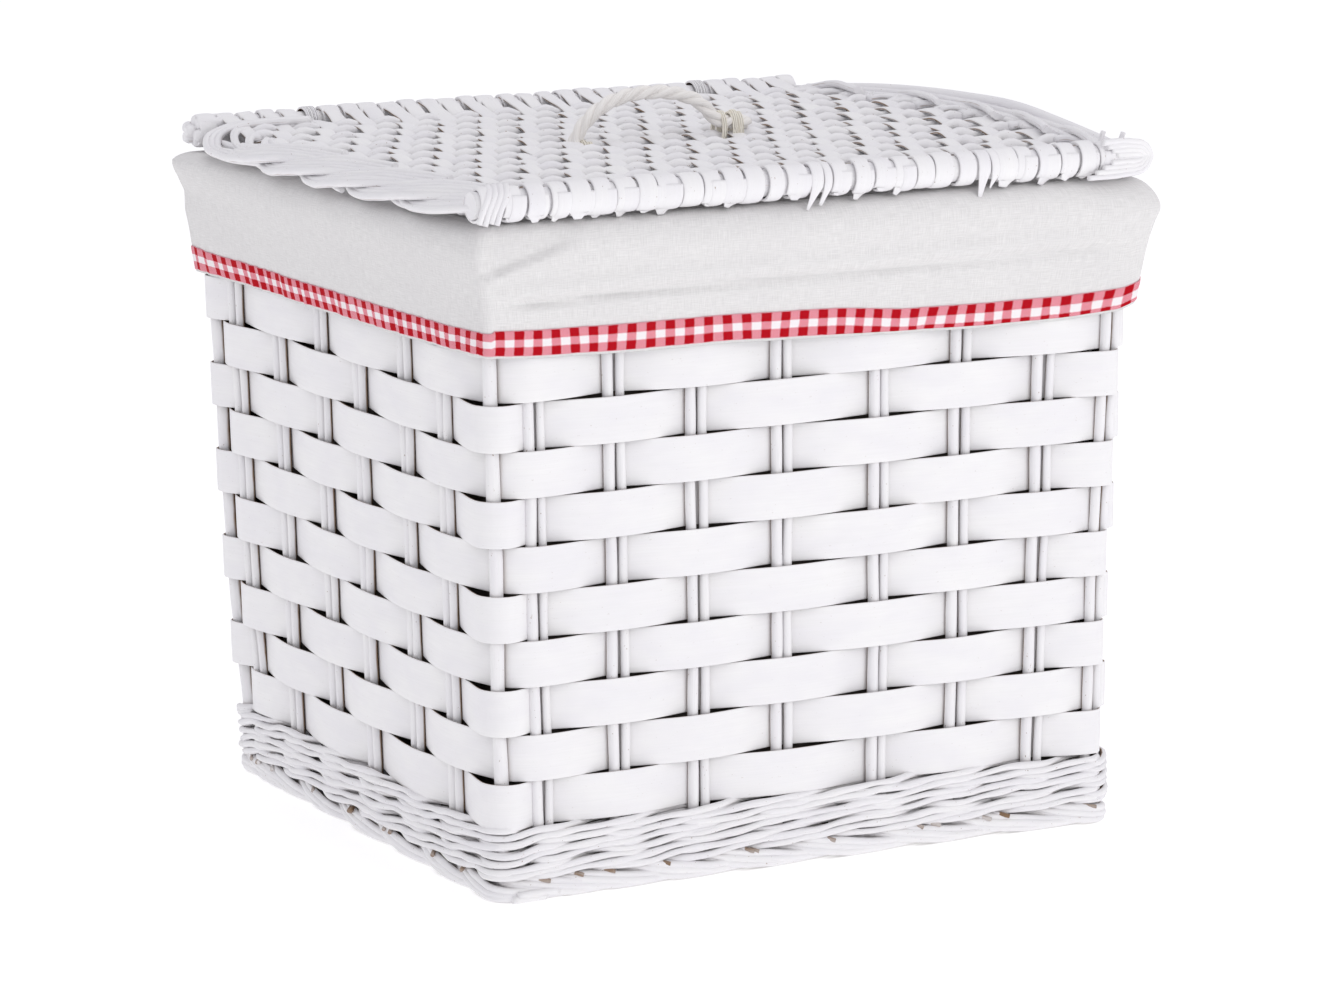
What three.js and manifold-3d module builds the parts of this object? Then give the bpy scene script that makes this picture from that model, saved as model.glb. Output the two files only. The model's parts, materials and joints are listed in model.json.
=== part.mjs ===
// A painted wicker picnic basket with a cloth lining, a gingham ribbon and a hinged woven lid.
// Units are millimetres. +Z is up, the front faces -Y, and the origin is under the middle of the basket.
import * as THREE from "three";
import { mergeVertices } from "three/addons/utils/BufferGeometryUtils.js";
import Module from "manifold-3d";

const wasm = await Module();
wasm.setup();

// ---- Driving dimensions ----

const GAP = 0.3; // room left between pieces that touch
const FLARE = 0.0182; // how far each wall leans out per millimetre of height
const WEAVE_Z = 41; // the bottom edge of the lowest strip
const PLANE_X = 186.65; // from the middle to the stakes of a side wall, at WEAVE_Z
const PLANE_Y = 179.55; // from the middle to the stakes of the front wall, at WEAVE_Z
const CORNER_R = 3; // plan radius of the line through the stakes
const CORNER_STEPS = 4;

const STAKE_D = 6;
const STAKE_PITCH = 6.2; // between the two rods of a pair
const STAKE_FOOT_Z = 12.4;
const POST_R = 4.25;
// How far in from the side and the front or back wall each corner post stands. Two stand a little
// way round their corners, beside a pair of stakes.
const POSTS = [
  { name: "front_left", side: [-1, -1], inset: [2.9, 2.9] },
  { name: "front_right", side: [1, -1], inset: [1.25, 7.6] },
  { name: "back_left", side: [-1, 1], inset: [1.25, 7.6] },
  { name: "back_right", side: [1, 1], inset: [2.9, 2.9] },
];
// The border that the bent-over stakes form stops short of the posts.
const RIM = { low: 345, high: 360, width: 11, frontRoom: 7.8, sideRoom: 12.5 };

const ROWS = 11;
const ROW_PITCH = 26;
const STRIP = { height: 25.4, thick: 1.3, inner: STAKE_D / 2 + GAP };

const FOOT = { high: 12, inner: -7, outer: 8, edge: 3 };
const WALING = { low: 12.7, pitch: 9.3, height: 8.9, outer: 7.6, edge: 2 };
const RIM_WALING = { low: 327.6, height: 12, outer: 6.6 };

const BASE_PANEL = { low: 14, high: 19, offset: -4, cornerR: 12 };
const BASE_STICK_R = 3.5;
const BASE_STICK_Z = 10.2;
const BASE_STICK_YS = [-140, -70, 0, 70, 140];

const BAG = { low: 19.4, high: 349.6, outer: -11, thick: 2 };

// Where the pairs of stakes stand along each wall at WEAVE_Z. A handmade basket spaces them unevenly.
const FRONT_PAIRS = [-161, -114, -65.5, -14, 46, 96, 144, 181];
const BACK_PAIRS = FRONT_PAIRS.map((x) => -x);
const LEFT_PAIRS = [-125, -75, -14, 37, 94, 144];
const RIGHT_PAIRS = LEFT_PAIRS.map((y) => -y);

const ROD_R = 8.5; // the wrapped rods along the lid's front and back edges
const FRONT_ROD = { y: -197, z: 384, left: -205, right: 206 };
const BACK_ROD = { y: 197, z: 384.3, left: -205, right: 198 };
const SIDE = { radius: 8, x: 196, bulge: 11, rise: 7, riseFrom: 60 }; // the lid's side borders
const LID_STICKS = 13;
const LID_STICK_R = 3.5;
const LID_STICK_SPREAD = 168; // from the middle to the first and the last stick
const LID_WEAVE = { lift: 0.9, thick: 1.6, hingeRoom: 14.6 };

const HANDLE_R = 4.4;
const LASHING = { wall: 1.6, right: [44.5, 58], left: [-57, -50] };

const HINGE = { x: 130, width: 8, thick: 3.6, room: 0.5, slot: 10 };

// ---- Materials ----

const paint = (color, roughness) =>
  new THREE.MeshStandardMaterial({ color, roughness, metalness: 0 });
const WHITE_WICKER = 0xf1eeee;
const WHITE_STRIP = 0xf4f2f2;
const LINEN = 0xdedbd9;
const GINGHAM = 0xd8435a;
const PAPER_CORD = 0xf3efe0;

// ---- Helpers ----

const group = new THREE.Group();

function add(name, geometry, color, roughness = 0.75) {
  const mesh = new THREE.Mesh(geometry, paint(color, roughness));
  mesh.name = name;
  group.add(mesh);
  return mesh;
}

const lean = (z) => FLARE * (z - WEAVE_Z);

// The basket's rounded rectangle at a height, moved out by offset, anticlockwise from above.
function outline(offset, z, cornerR = Math.max(CORNER_R + offset, 3)) {
  const halfX = PLANE_X + lean(z) + offset;
  const halfY = PLANE_Y + lean(z) + offset;
  const points = [];
  for (const [sx, sy, start] of [[1, -1, -90], [1, 1, 0], [-1, 1, 90], [-1, -1, 180]]) {
    for (let i = 0; i <= CORNER_STEPS; i++) {
      const a = THREE.MathUtils.degToRad(start + (90 * i) / CORNER_STEPS);
      const x = sx * (halfX - cornerR) + cornerR * Math.cos(a);
      const y = sy * (halfY - cornerR) + cornerR * Math.sin(a);
      points.push([x, y, z]);
    }
  }
  return points;
}

// Joins rings of equally many points into one closed body. A closed loft runs from the last ring back
// to the first, and an open one is capped at both ends.
function loft(rings, closed) {
  const count = rings[0].length;
  const vertices = rings.flat();
  const faces = [];
  const last = closed ? rings.length : rings.length - 1;
  for (let r = 0; r < last; r++) {
    const low = r * count;
    const high = ((r + 1) % rings.length) * count;
    for (let i = 0; i < count; i++) {
      const j = (i + 1) % count;
      faces.push(low + i, low + j, high + j, low + i, high + j, high + i);
    }
  }
  if (!closed) {
    // Each cap is a strip between the ring's two halves, so a long bent ring can be capped too.
    const top = (rings.length - 1) * count;
    for (let i = 0, j = count - 1; j - i > 1; i++, j--) {
      faces.push(i, j, j - 1, top + i, top + j - 1, top + j);
      if (j - i > 2) faces.push(i, j - 1, i + 1, top + i, top + i + 1, top + j - 1);
    }
  }
  const geometry = new THREE.BufferGeometry();
  geometry.setAttribute("position", new THREE.Float32BufferAttribute(vertices.flat(), 3));
  geometry.setIndex(faces);
  geometry.computeVertexNormals();
  return geometry;
}

// A ring round the basket. The profile's points are [offset, z], up the outside and down the inside.
const ringAround = (profile) => loft(profile.map(([offset, z]) => outline(offset, z)), true);

const circle = (radius, sides) => {
  const shape = new THREE.Shape();
  for (let i = 0; i < sides; i++) {
    const a = (2 * Math.PI * (i + 0.5)) / sides;
    shape[i ? "lineTo" : "moveTo"](radius * Math.cos(a), radius * Math.sin(a));
  }
  return shape;
};

function rodAlong(points, radius, steps, sides = 8) {
  const extrudePath = new THREE.CatmullRomCurve3(points.map((p) => new THREE.Vector3(...p)));
  return new THREE.ExtrudeGeometry(circle(radius, sides), { steps, extrudePath });
}

function straightRod(left, right, y, z, radius, sides) {
  const geometry = new THREE.CylinderGeometry(radius, radius, right - left, sides);
  geometry.rotateZ(Math.PI / 2);
  geometry.translate((left + right) / 2, y, z);
  return geometry;
}

function toSolid(geometry) {
  const bare = new THREE.BufferGeometry();
  bare.setAttribute("position", geometry.getAttribute("position"));
  bare.setIndex(geometry.index);
  const merged = mergeVertices(bare, 1e-3);
  const vertProperties = new Float32Array(merged.attributes.position.array);
  const triVerts = new Uint32Array(merged.index.array);
  return new wasm.Manifold(new wasm.Mesh({ numProp: 3, vertProperties, triVerts }));
}

function toGeometry(solid) {
  const mesh = solid.getMesh();
  const geometry = new THREE.BufferGeometry();
  geometry.setAttribute("position", new THREE.Float32BufferAttribute(mesh.vertProperties, 3));
  geometry.setIndex([...mesh.triVerts]);
  geometry.computeVertexNormals();
  return geometry;
}

// The convex outline round a set of [x, y] points.
function hull(points) {
  const sorted = [...points].sort((a, b) => a[0] - b[0] || a[1] - b[1]);
  const half = (list) => {
    const kept = [];
    for (const p of list) {
      while (kept.length > 1 && turn(kept.at(-2), kept.at(-1), p) <= 0) kept.pop();
      kept.push(p);
    }
    return kept.slice(0, -1);
  };
  return [...half(sorted), ...half(sorted.reverse())];
}
const turn = (a, b, c) => (b[0] - a[0]) * (c[1] - a[1]) - (b[1] - a[1]) * (c[0] - a[0]);

const around = ([x, y], radius, count) =>
  Array.from({ length: count }, (_, i) => {
    const a = (2 * Math.PI * i) / count;
    return [x + radius * Math.cos(a), y + radius * Math.sin(a)];
  });

const number = (i) => String(i).padStart(2, "0");

// ---- Base and foot ----

function footBorder() {
  const { high, inner, outer, edge } = FOOT;
  return ringAround([
    [outer - edge, 0],
    [outer, edge],
    [outer, high - edge],
    [outer - edge, high],
    [inner + edge, high],
    [inner, high - edge],
    [inner, edge],
    [inner + edge, 0],
  ]);
}

function basePanel() {
  const { low, high, offset, cornerR } = BASE_PANEL;
  return loft([outline(offset, low, cornerR), outline(offset, high, cornerR)], false);
}

add("foot_border", footBorder(), WHITE_WICKER);
add("base_panel", basePanel(), WHITE_WICKER);
BASE_STICK_YS.forEach((y, i) => {
  const reach = PLANE_X + lean(0) + FOOT.inner - 2 * GAP;
  const stick = straightRod(-reach, reach, y, BASE_STICK_Z, BASE_STICK_R, 8);
  add(`base_stick_${i + 1}`, stick, WHITE_WICKER);
});

// ---- Walls ----

// Bands that go round outside the stakes: waling rods below and above, and flat strips between them.
function band(low, height, outer, edge) {
  const high = low + height;
  return ringAround([
    [outer - edge, low],
    [outer, low + edge],
    [outer, high - edge],
    [outer - edge, high],
    [STRIP.inner, high],
    [STRIP.inner, low],
  ]);
}

function stripRow(low) {
  const { inner, thick, height } = STRIP;
  return ringAround([
    [inner + thick, low],
    [inner + thick, low + height],
    [inner, low + height],
    [inner, low],
  ]);
}

["lower", "middle", "upper"].forEach((place, i) => {
  const low = WALING.low + i * WALING.pitch;
  add(`waling_${place}`, band(low, WALING.height, WALING.outer, WALING.edge), WHITE_WICKER);
});
for (let row = 1; row <= ROWS; row++) {
  // Row 1 is the lowest.
  add(`strip_row_${number(row)}`, stripRow(WEAVE_Z + (row - 1) * ROW_PITCH), WHITE_STRIP, 0.6);
}
const { low: rimWalingLow, height: rimWalingHeight, outer: rimWalingOuter } = RIM_WALING;
add("waling_rim", band(rimWalingLow, rimWalingHeight, rimWalingOuter, WALING.edge), WHITE_WICKER);

// Two round rods side by side, standing on STAKE_FOOT_Z, as one outline that is extruded upwards.
function stakePair(along) {
  const r = STAKE_D / 2;
  const shape = new THREE.Shape();
  const start = Math.PI / 4;
  for (const side of [1, -1]) {
    for (let i = 0; i < 7; i++) {
      const a = start * (i - 3) + (side > 0 ? 0 : Math.PI);
      const x = along + (side * STAKE_PITCH) / 2 + r * Math.cos(a);
      shape[side > 0 && i === 0 ? "moveTo" : "lineTo"](x, r * Math.sin(a));
    }
  }
  const depth = RIM.low + 2 - STAKE_FOOT_Z;
  const geometry = new THREE.ExtrudeGeometry(shape, { depth, bevelEnabled: false });
  geometry.translate(0, 0, STAKE_FOOT_Z);
  return geometry;
}

// The border bar of one wall: the ends of the stakes, bent over and laid along the rim.
function rimBar(halfLength) {
  const { low, high, width } = RIM;
  const edge = 3;
  const w = width / 2;
  const shape = new THREE.Shape();
  shape.moveTo(-w, low + edge);
  shape.lineTo(-w + edge, low);
  shape.lineTo(w - edge, low);
  shape.lineTo(w, low + edge);
  shape.lineTo(w, high - edge);
  shape.lineTo(w - edge, high);
  shape.lineTo(-w + edge, high);
  shape.lineTo(-w, high - edge);
  const geometry = new THREE.ExtrudeGeometry(shape, { depth: 2 * halfLength, bevelEnabled: false });
  geometry.rotateX(Math.PI / 2);
  geometry.rotateZ(Math.PI / 2);
  geometry.translate(-halfLength, 0, 0);
  return geometry;
}

// One wall's stakes with their border, leaning out and fanning out, for a wall that faces along angle.
function wallStakes(pairs, distance, halfLength, cornerRoom, angle) {
  let solid = toSolid(rimBar(halfLength - cornerRoom));
  for (const along of pairs) solid = solid.add(toSolid(stakePair(along)));
  const geometry = toGeometry(solid);
  const position = geometry.getAttribute("position");
  for (let i = 0; i < position.count; i++) {
    const outward = lean(position.getZ(i));
    position.setX(i, position.getX(i) * (1 + outward / halfLength));
    position.setY(i, position.getY(i) - distance - outward);
  }
  geometry.rotateZ(angle);
  geometry.computeVertexNormals();
  return geometry;
}

// Each wall is built facing -Y with its pairs listed from -X to +X, and is then turned into place.
const QUARTER = Math.PI / 2;
const { frontRoom, sideRoom } = RIM;
const frontPairs = FRONT_PAIRS;
const rightPairs = RIGHT_PAIRS;
const backPairs = BACK_PAIRS.map((x) => -x);
const leftPairs = LEFT_PAIRS.map((y) => -y);
add("front_stakes", wallStakes(frontPairs, PLANE_Y, PLANE_X, frontRoom, 0), WHITE_WICKER);
add("right_stakes", wallStakes(rightPairs, PLANE_X, PLANE_Y, sideRoom, QUARTER), WHITE_WICKER);
add("back_stakes", wallStakes(backPairs, PLANE_Y, PLANE_X, frontRoom, 2 * QUARTER), WHITE_WICKER);
add("left_stakes", wallStakes(leftPairs, PLANE_X, PLANE_Y, sideRoom, -QUARTER), WHITE_WICKER);

for (const { name, side, inset } of POSTS) {
  const at = (z) => [
    side[0] * (PLANE_X + lean(z) - inset[0]),
    side[1] * (PLANE_Y + lean(z) - inset[1]),
    z,
  ];
  const post = rodAlong([at(STAKE_FOOT_Z + GAP), at(RIM.high - GAP)], POST_R, 1, 10);
  add(`corner_post_${name}`, post, WHITE_WICKER);
}

// ---- Lining ----

function liningBag() {
  const { low, high, outer, thick } = BAG;
  return loft(
    [
      outline(outer, low),
      outline(outer, high),
      outline(outer - thick, high),
      outline(outer - thick, low + thick),
    ],
    false,
  );
}

// The lining turned over the rim: down the inside it meets the bag, and outside it flares and hangs.
const FLAP_OUTSIDE = [
  [8.8, 296],
  [11.6, 325],
  [17, 345],
  [20.5, 357],
  [18.5, 364],
  [10, 370.4],
  [-5, 370.4],
  [-12, 365],
  [-13, 350],
];
const FLAP_INSIDE = [
  [-11, 350],
  [-10.4, 358.8],
  [-5, 360.4],
  [7, 360.4],
  [14, 358],
  [16.6, 353.6],
  [14, 345],
  [9.4, 325],
  [6.4, 296],
];

// At each hinge the fold has a slot, which the loop passes through.
function liningFlap() {
  let solid = toSolid(ringAround([...FLAP_OUTSIDE, ...FLAP_INSIDE]));
  for (const x of [-HINGE.x, HINGE.x]) {
    const slot = new THREE.BoxGeometry(HINGE.slot, 50, 40);
    slot.translate(x, PLANE_Y + lean(RIM.high) + 8, RIM.low + 17);
    solid = solid.subtract(toSolid(slot));
  }
  return toGeometry(solid);
}

// The ribbon is sewn on just above the flap's hem.
function ribbon() {
  const low = 297;
  const high = 312;
  const face = (z) => 8.8 + ((z - 296) * (11.6 - 8.8)) / (325 - 296) + GAP;
  const thick = 0.9;
  return ringAround([
    [face(low) + thick, low],
    [face(high) + thick, high],
    [face(high), high],
    [face(low), low],
  ]);
}

add("lining_bag", liningBag(), LINEN, 0.95);
add("lining_flap", liningFlap(), LINEN, 0.95);
add("gingham_ribbon", ribbon(), GINGHAM, 0.9);

// ---- Lid ----

// The height of the lid's mid-surface: nearly level, with the right edge bowed upwards.
function lidZ(x, y) {
  const t = (y - FRONT_ROD.y) / (BACK_ROD.y - FRONT_ROD.y);
  const across = Math.max(0, (x - SIDE.riseFrom) / (SIDE.x + SIDE.bulge - SIDE.riseFrom));
  const bow = 1 - (y / BACK_ROD.y) ** 2;
  return FRONT_ROD.z + t * (BACK_ROD.z - FRONT_ROD.z) + SIDE.rise * across ** 2 * bow;
}

// How far from the middle a side border's centre lies.
const sideX = (y) => SIDE.x + SIDE.bulge * (1 - (y / BACK_ROD.y) ** 2);

// How far a stick or the woven field can reach without touching the side border.
const fieldX = (y) => sideX(y) - SIDE.radius - 0.6;

function sideBorder(sign) {
  const end = BACK_ROD.y - ROD_R - SIDE.radius * 0.1 - GAP;
  const points = Array.from({ length: 9 }, (_, i) => {
    const y = end * (i / 4 - 1);
    return [sign * sideX(y), y, lidZ(sign * sideX(y), y)];
  });
  return rodAlong(points, SIDE.radius, 14, 10);
}

function lidStick(y) {
  const points = Array.from({ length: 7 }, (_, i) => {
    const x = fieldX(y) * (i / 3 - 1);
    return [x, y, lidZ(x, y)];
  });
  return rodAlong(points, LID_STICK_R, 8, 8);
}

// The woven field as one thin curved plate, laid on the sticks.
function lidWeave() {
  const low = LID_STICK_R + LID_WEAVE.lift;
  const high = low + LID_WEAVE.thick;
  const yFront = FRONT_ROD.y + ROD_R + 0.5;
  const yBack = BACK_ROD.y - LID_WEAVE.hingeRoom;
  const columns = 24;
  const rows = 20;
  const rings = [];
  // Each ring is a cross-section from front to back at one share of the width.
  for (let c = 0; c <= columns; c++) {
    const share = (2 * c) / columns - 1;
    const at = (r, lift) => {
      const y = yFront + ((yBack - yFront) * r) / rows;
      const x = share * fieldX(y);
      return [x, y, lidZ(x, y) + lift];
    };
    const under = Array.from({ length: rows + 1 }, (_, r) => at(r, low));
    const over = Array.from({ length: rows + 1 }, (_, r) => at(rows - r, high));
    rings.push([...under, ...over]);
  }
  return loft(rings, false);
}

const rod = ({ left, right, y, z }) => straightRod(left, right, y, z, ROD_R, 16);
add("lid_front_rod", rod(FRONT_ROD), WHITE_WICKER);
add("lid_back_rod", rod(BACK_ROD), WHITE_WICKER);
add("lid_left_border", sideBorder(-1), WHITE_WICKER);
add("lid_right_border", sideBorder(1), WHITE_WICKER);
for (let i = 0; i < LID_STICKS; i++) {
  const y = LID_STICK_SPREAD * ((2 * i) / (LID_STICKS - 1) - 1);
  add(`lid_stick_${number(i + 1)}`, lidStick(y), WHITE_WICKER);
}
add("lid_weave", lidWeave(), WHITE_STRIP, 0.65);

// ---- Handle ----

const weaveTop = lidZ(LASHING.right[1], 0) + LID_STICK_R + LID_WEAVE.lift + LID_WEAVE.thick;
const footZ = weaveTop + HANDLE_R + LASHING.wall + 3 * GAP;
const HANDLE_PATH = [
  [62, footZ],
  [54, footZ],
  [47, footZ],
  [42, footZ],
  [37, footZ + 2],
  [32, footZ + 7],
  [25, footZ + 12.5],
  [14, footZ + 15.8],
  [-2, footZ + 16.5],
  [-18, footZ + 15.8],
  [-29, footZ + 12.5],
  [-36, footZ + 7],
  [-41, footZ + 2],
  [-46, footZ],
  [-52, footZ],
  [-61, footZ],
];
add("handle", rodAlong(HANDLE_PATH.map(([x, z]) => [x, 0, z]), HANDLE_R, 34, 8), PAPER_CORD, 0.85);

function lashing([from, to]) {
  const inner = HANDLE_R + GAP;
  const outer = inner + LASHING.wall - GAP;
  const length = to - from;
  const profile = [[outer, 0], [outer, length], [inner, length], [inner, 0], [outer, 0]];
  const geometry = new THREE.LatheGeometry(profile.map((p) => new THREE.Vector2(...p)), 12);
  geometry.rotateZ(-Math.PI / 2);
  geometry.translate(from, 0, footZ);
  return geometry;
}
add("handle_lashing_right", lashing(LASHING.right), PAPER_CORD, 0.85);
add("handle_lashing_left", lashing(LASHING.left), PAPER_CORD, 0.85);

// ---- Hinges ----

// A wicker loop that goes round the lid's back rod and the basket's border.
function hingeLoop(x) {
  const rimY = PLANE_Y + lean((RIM.low + RIM.high) / 2);
  const loopAt = (room) => {
    const w = RIM.width / 2 + 0.4;
    const corners = [
      [rimY - w, RIM.low],
      [rimY + w, RIM.low],
      [rimY - w, RIM.high],
    ];
    const round = corners.flatMap((c) => around(c, room, 12));
    return hull([...around([BACK_ROD.y, BACK_ROD.z], ROD_R + room, 20), ...round]);
  };
  const toPath = (points) => points.map((p) => new THREE.Vector2(...p));
  const shape = new THREE.Shape(toPath(loopAt(HINGE.room + HINGE.thick)));
  shape.holes.push(new THREE.Path(toPath(loopAt(HINGE.room))));
  const geometry = new THREE.ExtrudeGeometry(shape, { depth: HINGE.width, bevelEnabled: false });
  geometry.rotateX(QUARTER);
  geometry.rotateZ(QUARTER);
  geometry.translate(x - HINGE.width / 2, 0, 0);
  return geometry;
}
add("hinge_loop_left", hingeLoop(-HINGE.x), WHITE_WICKER);
add("hinge_loop_right", hingeLoop(HINGE.x), WHITE_WICKER);

export default group;
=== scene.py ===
"""The looks of a painted wicker picnic basket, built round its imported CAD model.

Lengths are in metres and the frame is the CAD model's own. MM turns millimetres into metres.
"""
import json
import math

import bpy
import numpy as np
from mathutils import Matrix, Vector


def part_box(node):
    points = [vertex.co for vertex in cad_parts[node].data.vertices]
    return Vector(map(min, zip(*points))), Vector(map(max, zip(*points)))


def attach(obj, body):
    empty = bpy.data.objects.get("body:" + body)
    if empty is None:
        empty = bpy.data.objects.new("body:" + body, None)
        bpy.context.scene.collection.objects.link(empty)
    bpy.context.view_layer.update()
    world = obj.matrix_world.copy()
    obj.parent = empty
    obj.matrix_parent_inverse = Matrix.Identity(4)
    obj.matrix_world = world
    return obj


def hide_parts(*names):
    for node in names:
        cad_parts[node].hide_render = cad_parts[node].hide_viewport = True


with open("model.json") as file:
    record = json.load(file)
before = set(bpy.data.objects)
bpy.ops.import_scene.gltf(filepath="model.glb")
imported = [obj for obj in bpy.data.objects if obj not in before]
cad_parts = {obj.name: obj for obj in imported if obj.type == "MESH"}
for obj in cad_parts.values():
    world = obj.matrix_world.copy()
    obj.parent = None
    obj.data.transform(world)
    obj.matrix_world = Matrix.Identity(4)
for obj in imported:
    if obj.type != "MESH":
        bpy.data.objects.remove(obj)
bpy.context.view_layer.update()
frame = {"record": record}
record = frame["record"]
BODY = {node: body for body, nodes in record["behaviour"]["bodies"].items() for node in nodes}

MM = 0.001


def mm(rows):
    """A table of millimetres, in metres."""
    return np.array(rows, float) * MM


def centre(node):
    """The middle of a CAD node's box."""
    low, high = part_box(node)
    return [(a + b) / 2 for a, b in zip(low, high)]


# ---- Driving dimensions, read from the CAD pieces where a piece has them ----

STRIP_THICK = 1.3 * MM
STRIP_OUTER = 4.6 * MM  # from the stakes' plane to a strip's outer face in the CAD model
ROWS = 11
low_row, high_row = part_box("strip_row_01")
top_low_row, top_high_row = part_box(f"strip_row_{ROWS}")
WEAVE_Z = low_row.z
STRIP_HEIGHT = high_row.z - low_row.z
ROW_PITCH = (top_low_row.z - low_row.z) / (ROWS - 1)
FLARE = (top_high_row.x - high_row.x) / (top_high_row.z - high_row.z)
PLANE_X = high_row.x - STRIP_OUTER - FLARE * STRIP_HEIGHT
PLANE_Y = high_row.y - STRIP_OUTER - FLARE * STRIP_HEIGHT

# Where the stakes stand along a wall at WEAVE_Z, from the left to someone facing it. The front and
# the back wall are alike, and so are the sides.
LONG_WALL = [-161, -114, -65.5, -14, 46, 96, 144, 179.5]
SIDE_WALL = [-147, -98, -38, 14, 75, 125]
# Where corners are splayed: corner (0 the front right one), direction, and how far at each height.
WICKER_SPLAY = [
    (0, 0.66, -0.75, [
        (0, 7), (45, 6), (100, 6), (150, 6.5), (200, 8.5), (280, 11), (300, 11), (330, 9), (360, 6),
    ]),
    (2, -0.66, 0.75, [(0, 0.5), (45, 1.5), (100, 6.3), (280, 10.3), (300, 10.3), (330, 6.5), (360, 2)]),
]
CLOTH_SPLAY = [
    (0, 0.66, -0.75, [(0, 7), (297, 10.5), (340, 9.5), (355, 9.5), (363, 6), (371, 1.5)]),
    (2, -0.66, 0.75, [
        (0, 0), (100, 1), (300, 5.5), (338, 3.6), (350, -0.5), (358, 1.5), (367, 8), (371, 7.5),
    ]),
    (3, 1.0, -0.3, [(0, 0), (297, 1.5), (320, 4.5), (355, 5.5), (371, 4.5)]),
]
SPLAY_REACH = 45 * MM
RIM_Z = 352.5 * MM  # the middle of the bundle of rods under the lining
STAKE_FOOT_Z = 12.6 * MM
POSTS = {0: "front_left", 9: "front_right", 16: "back_right", 25: "back_left"}
CROSSINGS = 32
FAR_LEFT_POST = 25
BACK_CROSSING = 20  # behind the back wall, where strips and rods begin and end

FRONT_ROD = centre("lid_front_rod")
BACK_ROD = centre("lid_back_rod")
ROD_R = (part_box("lid_front_rod")[1].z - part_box("lid_front_rod")[0].z) / 2
LID_STICKS = 13
STICK_YS = [centre(f"lid_stick_{i + 1:02d}")[1] for i in range(LID_STICKS)]
SIDE_X = 196 * MM
SIDE_BULGE = 11 * MM
RISE = 7 * MM
RISE_FROM = 60 * MM
HINGE_X = centre("hinge_loop_right")[0]
HANDLE_RIGHT_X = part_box("handle_lashing_right")[0].x

# ---- Curves ----


def unit(v):
    return v / np.maximum(np.linalg.norm(v, axis=-1, keepdims=True), 1e-12)


def joined(x, y, z):
    """Points or directions from their coordinates, any of which can be one number for them all."""
    return np.stack(np.broadcast_arrays(x, y, z), -1)


def hump(distance, width):
    """1 at no distance, falling smoothly to nothing beyond about twice the width."""
    return np.exp(-((distance / width) ** 2))


def smooth(at, knots, values):
    """Reads, at each place in at, the smooth curve that runs through values at knots."""
    knots = np.asarray(knots, float)
    values = np.asarray(values, float)
    slope = np.gradient(values, knots, axis=0)
    i = np.clip(np.searchsorted(knots, at, side="right") - 1, 0, len(knots) - 2)
    gap = knots[i + 1] - knots[i]
    t = np.clip((at - knots[i]) / gap, 0, 1)
    if values.ndim > 1:
        t = t[:, None]
        gap = gap[:, None]
    held = values[i] * (1 + 2 * t) * (1 - t) ** 2 + values[i + 1] * t * t * (3 - 2 * t)
    return held + slope[i] * gap * t * (1 - t) ** 2 - slope[i + 1] * gap * t * t * (1 - t)


def lengths(points):
    steps = np.linalg.norm(np.diff(points, axis=0), axis=1)
    return np.concatenate([[0], np.cumsum(steps)])


def glide(at, knots, values):
    """Reads a curve that passes level through each knot, so it never overshoots one."""
    i = np.clip(np.searchsorted(knots, at, side="right") - 1, 0, len(knots) - 2)
    t = np.clip((at - knots[i]) / (knots[i + 1] - knots[i]), 0, 1)
    return values[i] + (values[i + 1] - values[i]) * t * t * (3 - 2 * t)


def curve(points, step=2.5 * MM):
    """Evenly spaced points on a smooth line through the given ones."""
    points = np.asarray(points, float)
    reach = lengths(points)
    count = max(4, round(reach[-1] / step)) + 1
    return smooth(np.linspace(0, reach[-1], count), reach, points)


def wobble(rng, at, wave, size):
    """Smooth unevenness of about the given size, with no repeat to see."""
    total = 0
    for share in (1, 0.57, 0.31):
        total = total + share * np.sin(2 * np.pi * (at / (wave * share) + rng.uniform()))
    return size * total / 1.5


def ripple(rng, turn, cycles, size):
    """Unevenness that meets itself after one turn round the basket."""
    total = 0
    for count in cycles:
        total = total + np.sin(2 * np.pi * (turn * count + rng.uniform()))
    return size * total / math.sqrt(len(cycles))


def ease(low, high, x):
    t = np.clip((x - low) / (high - low), 0, 1)
    return t * t * (3 - 2 * t)


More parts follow.
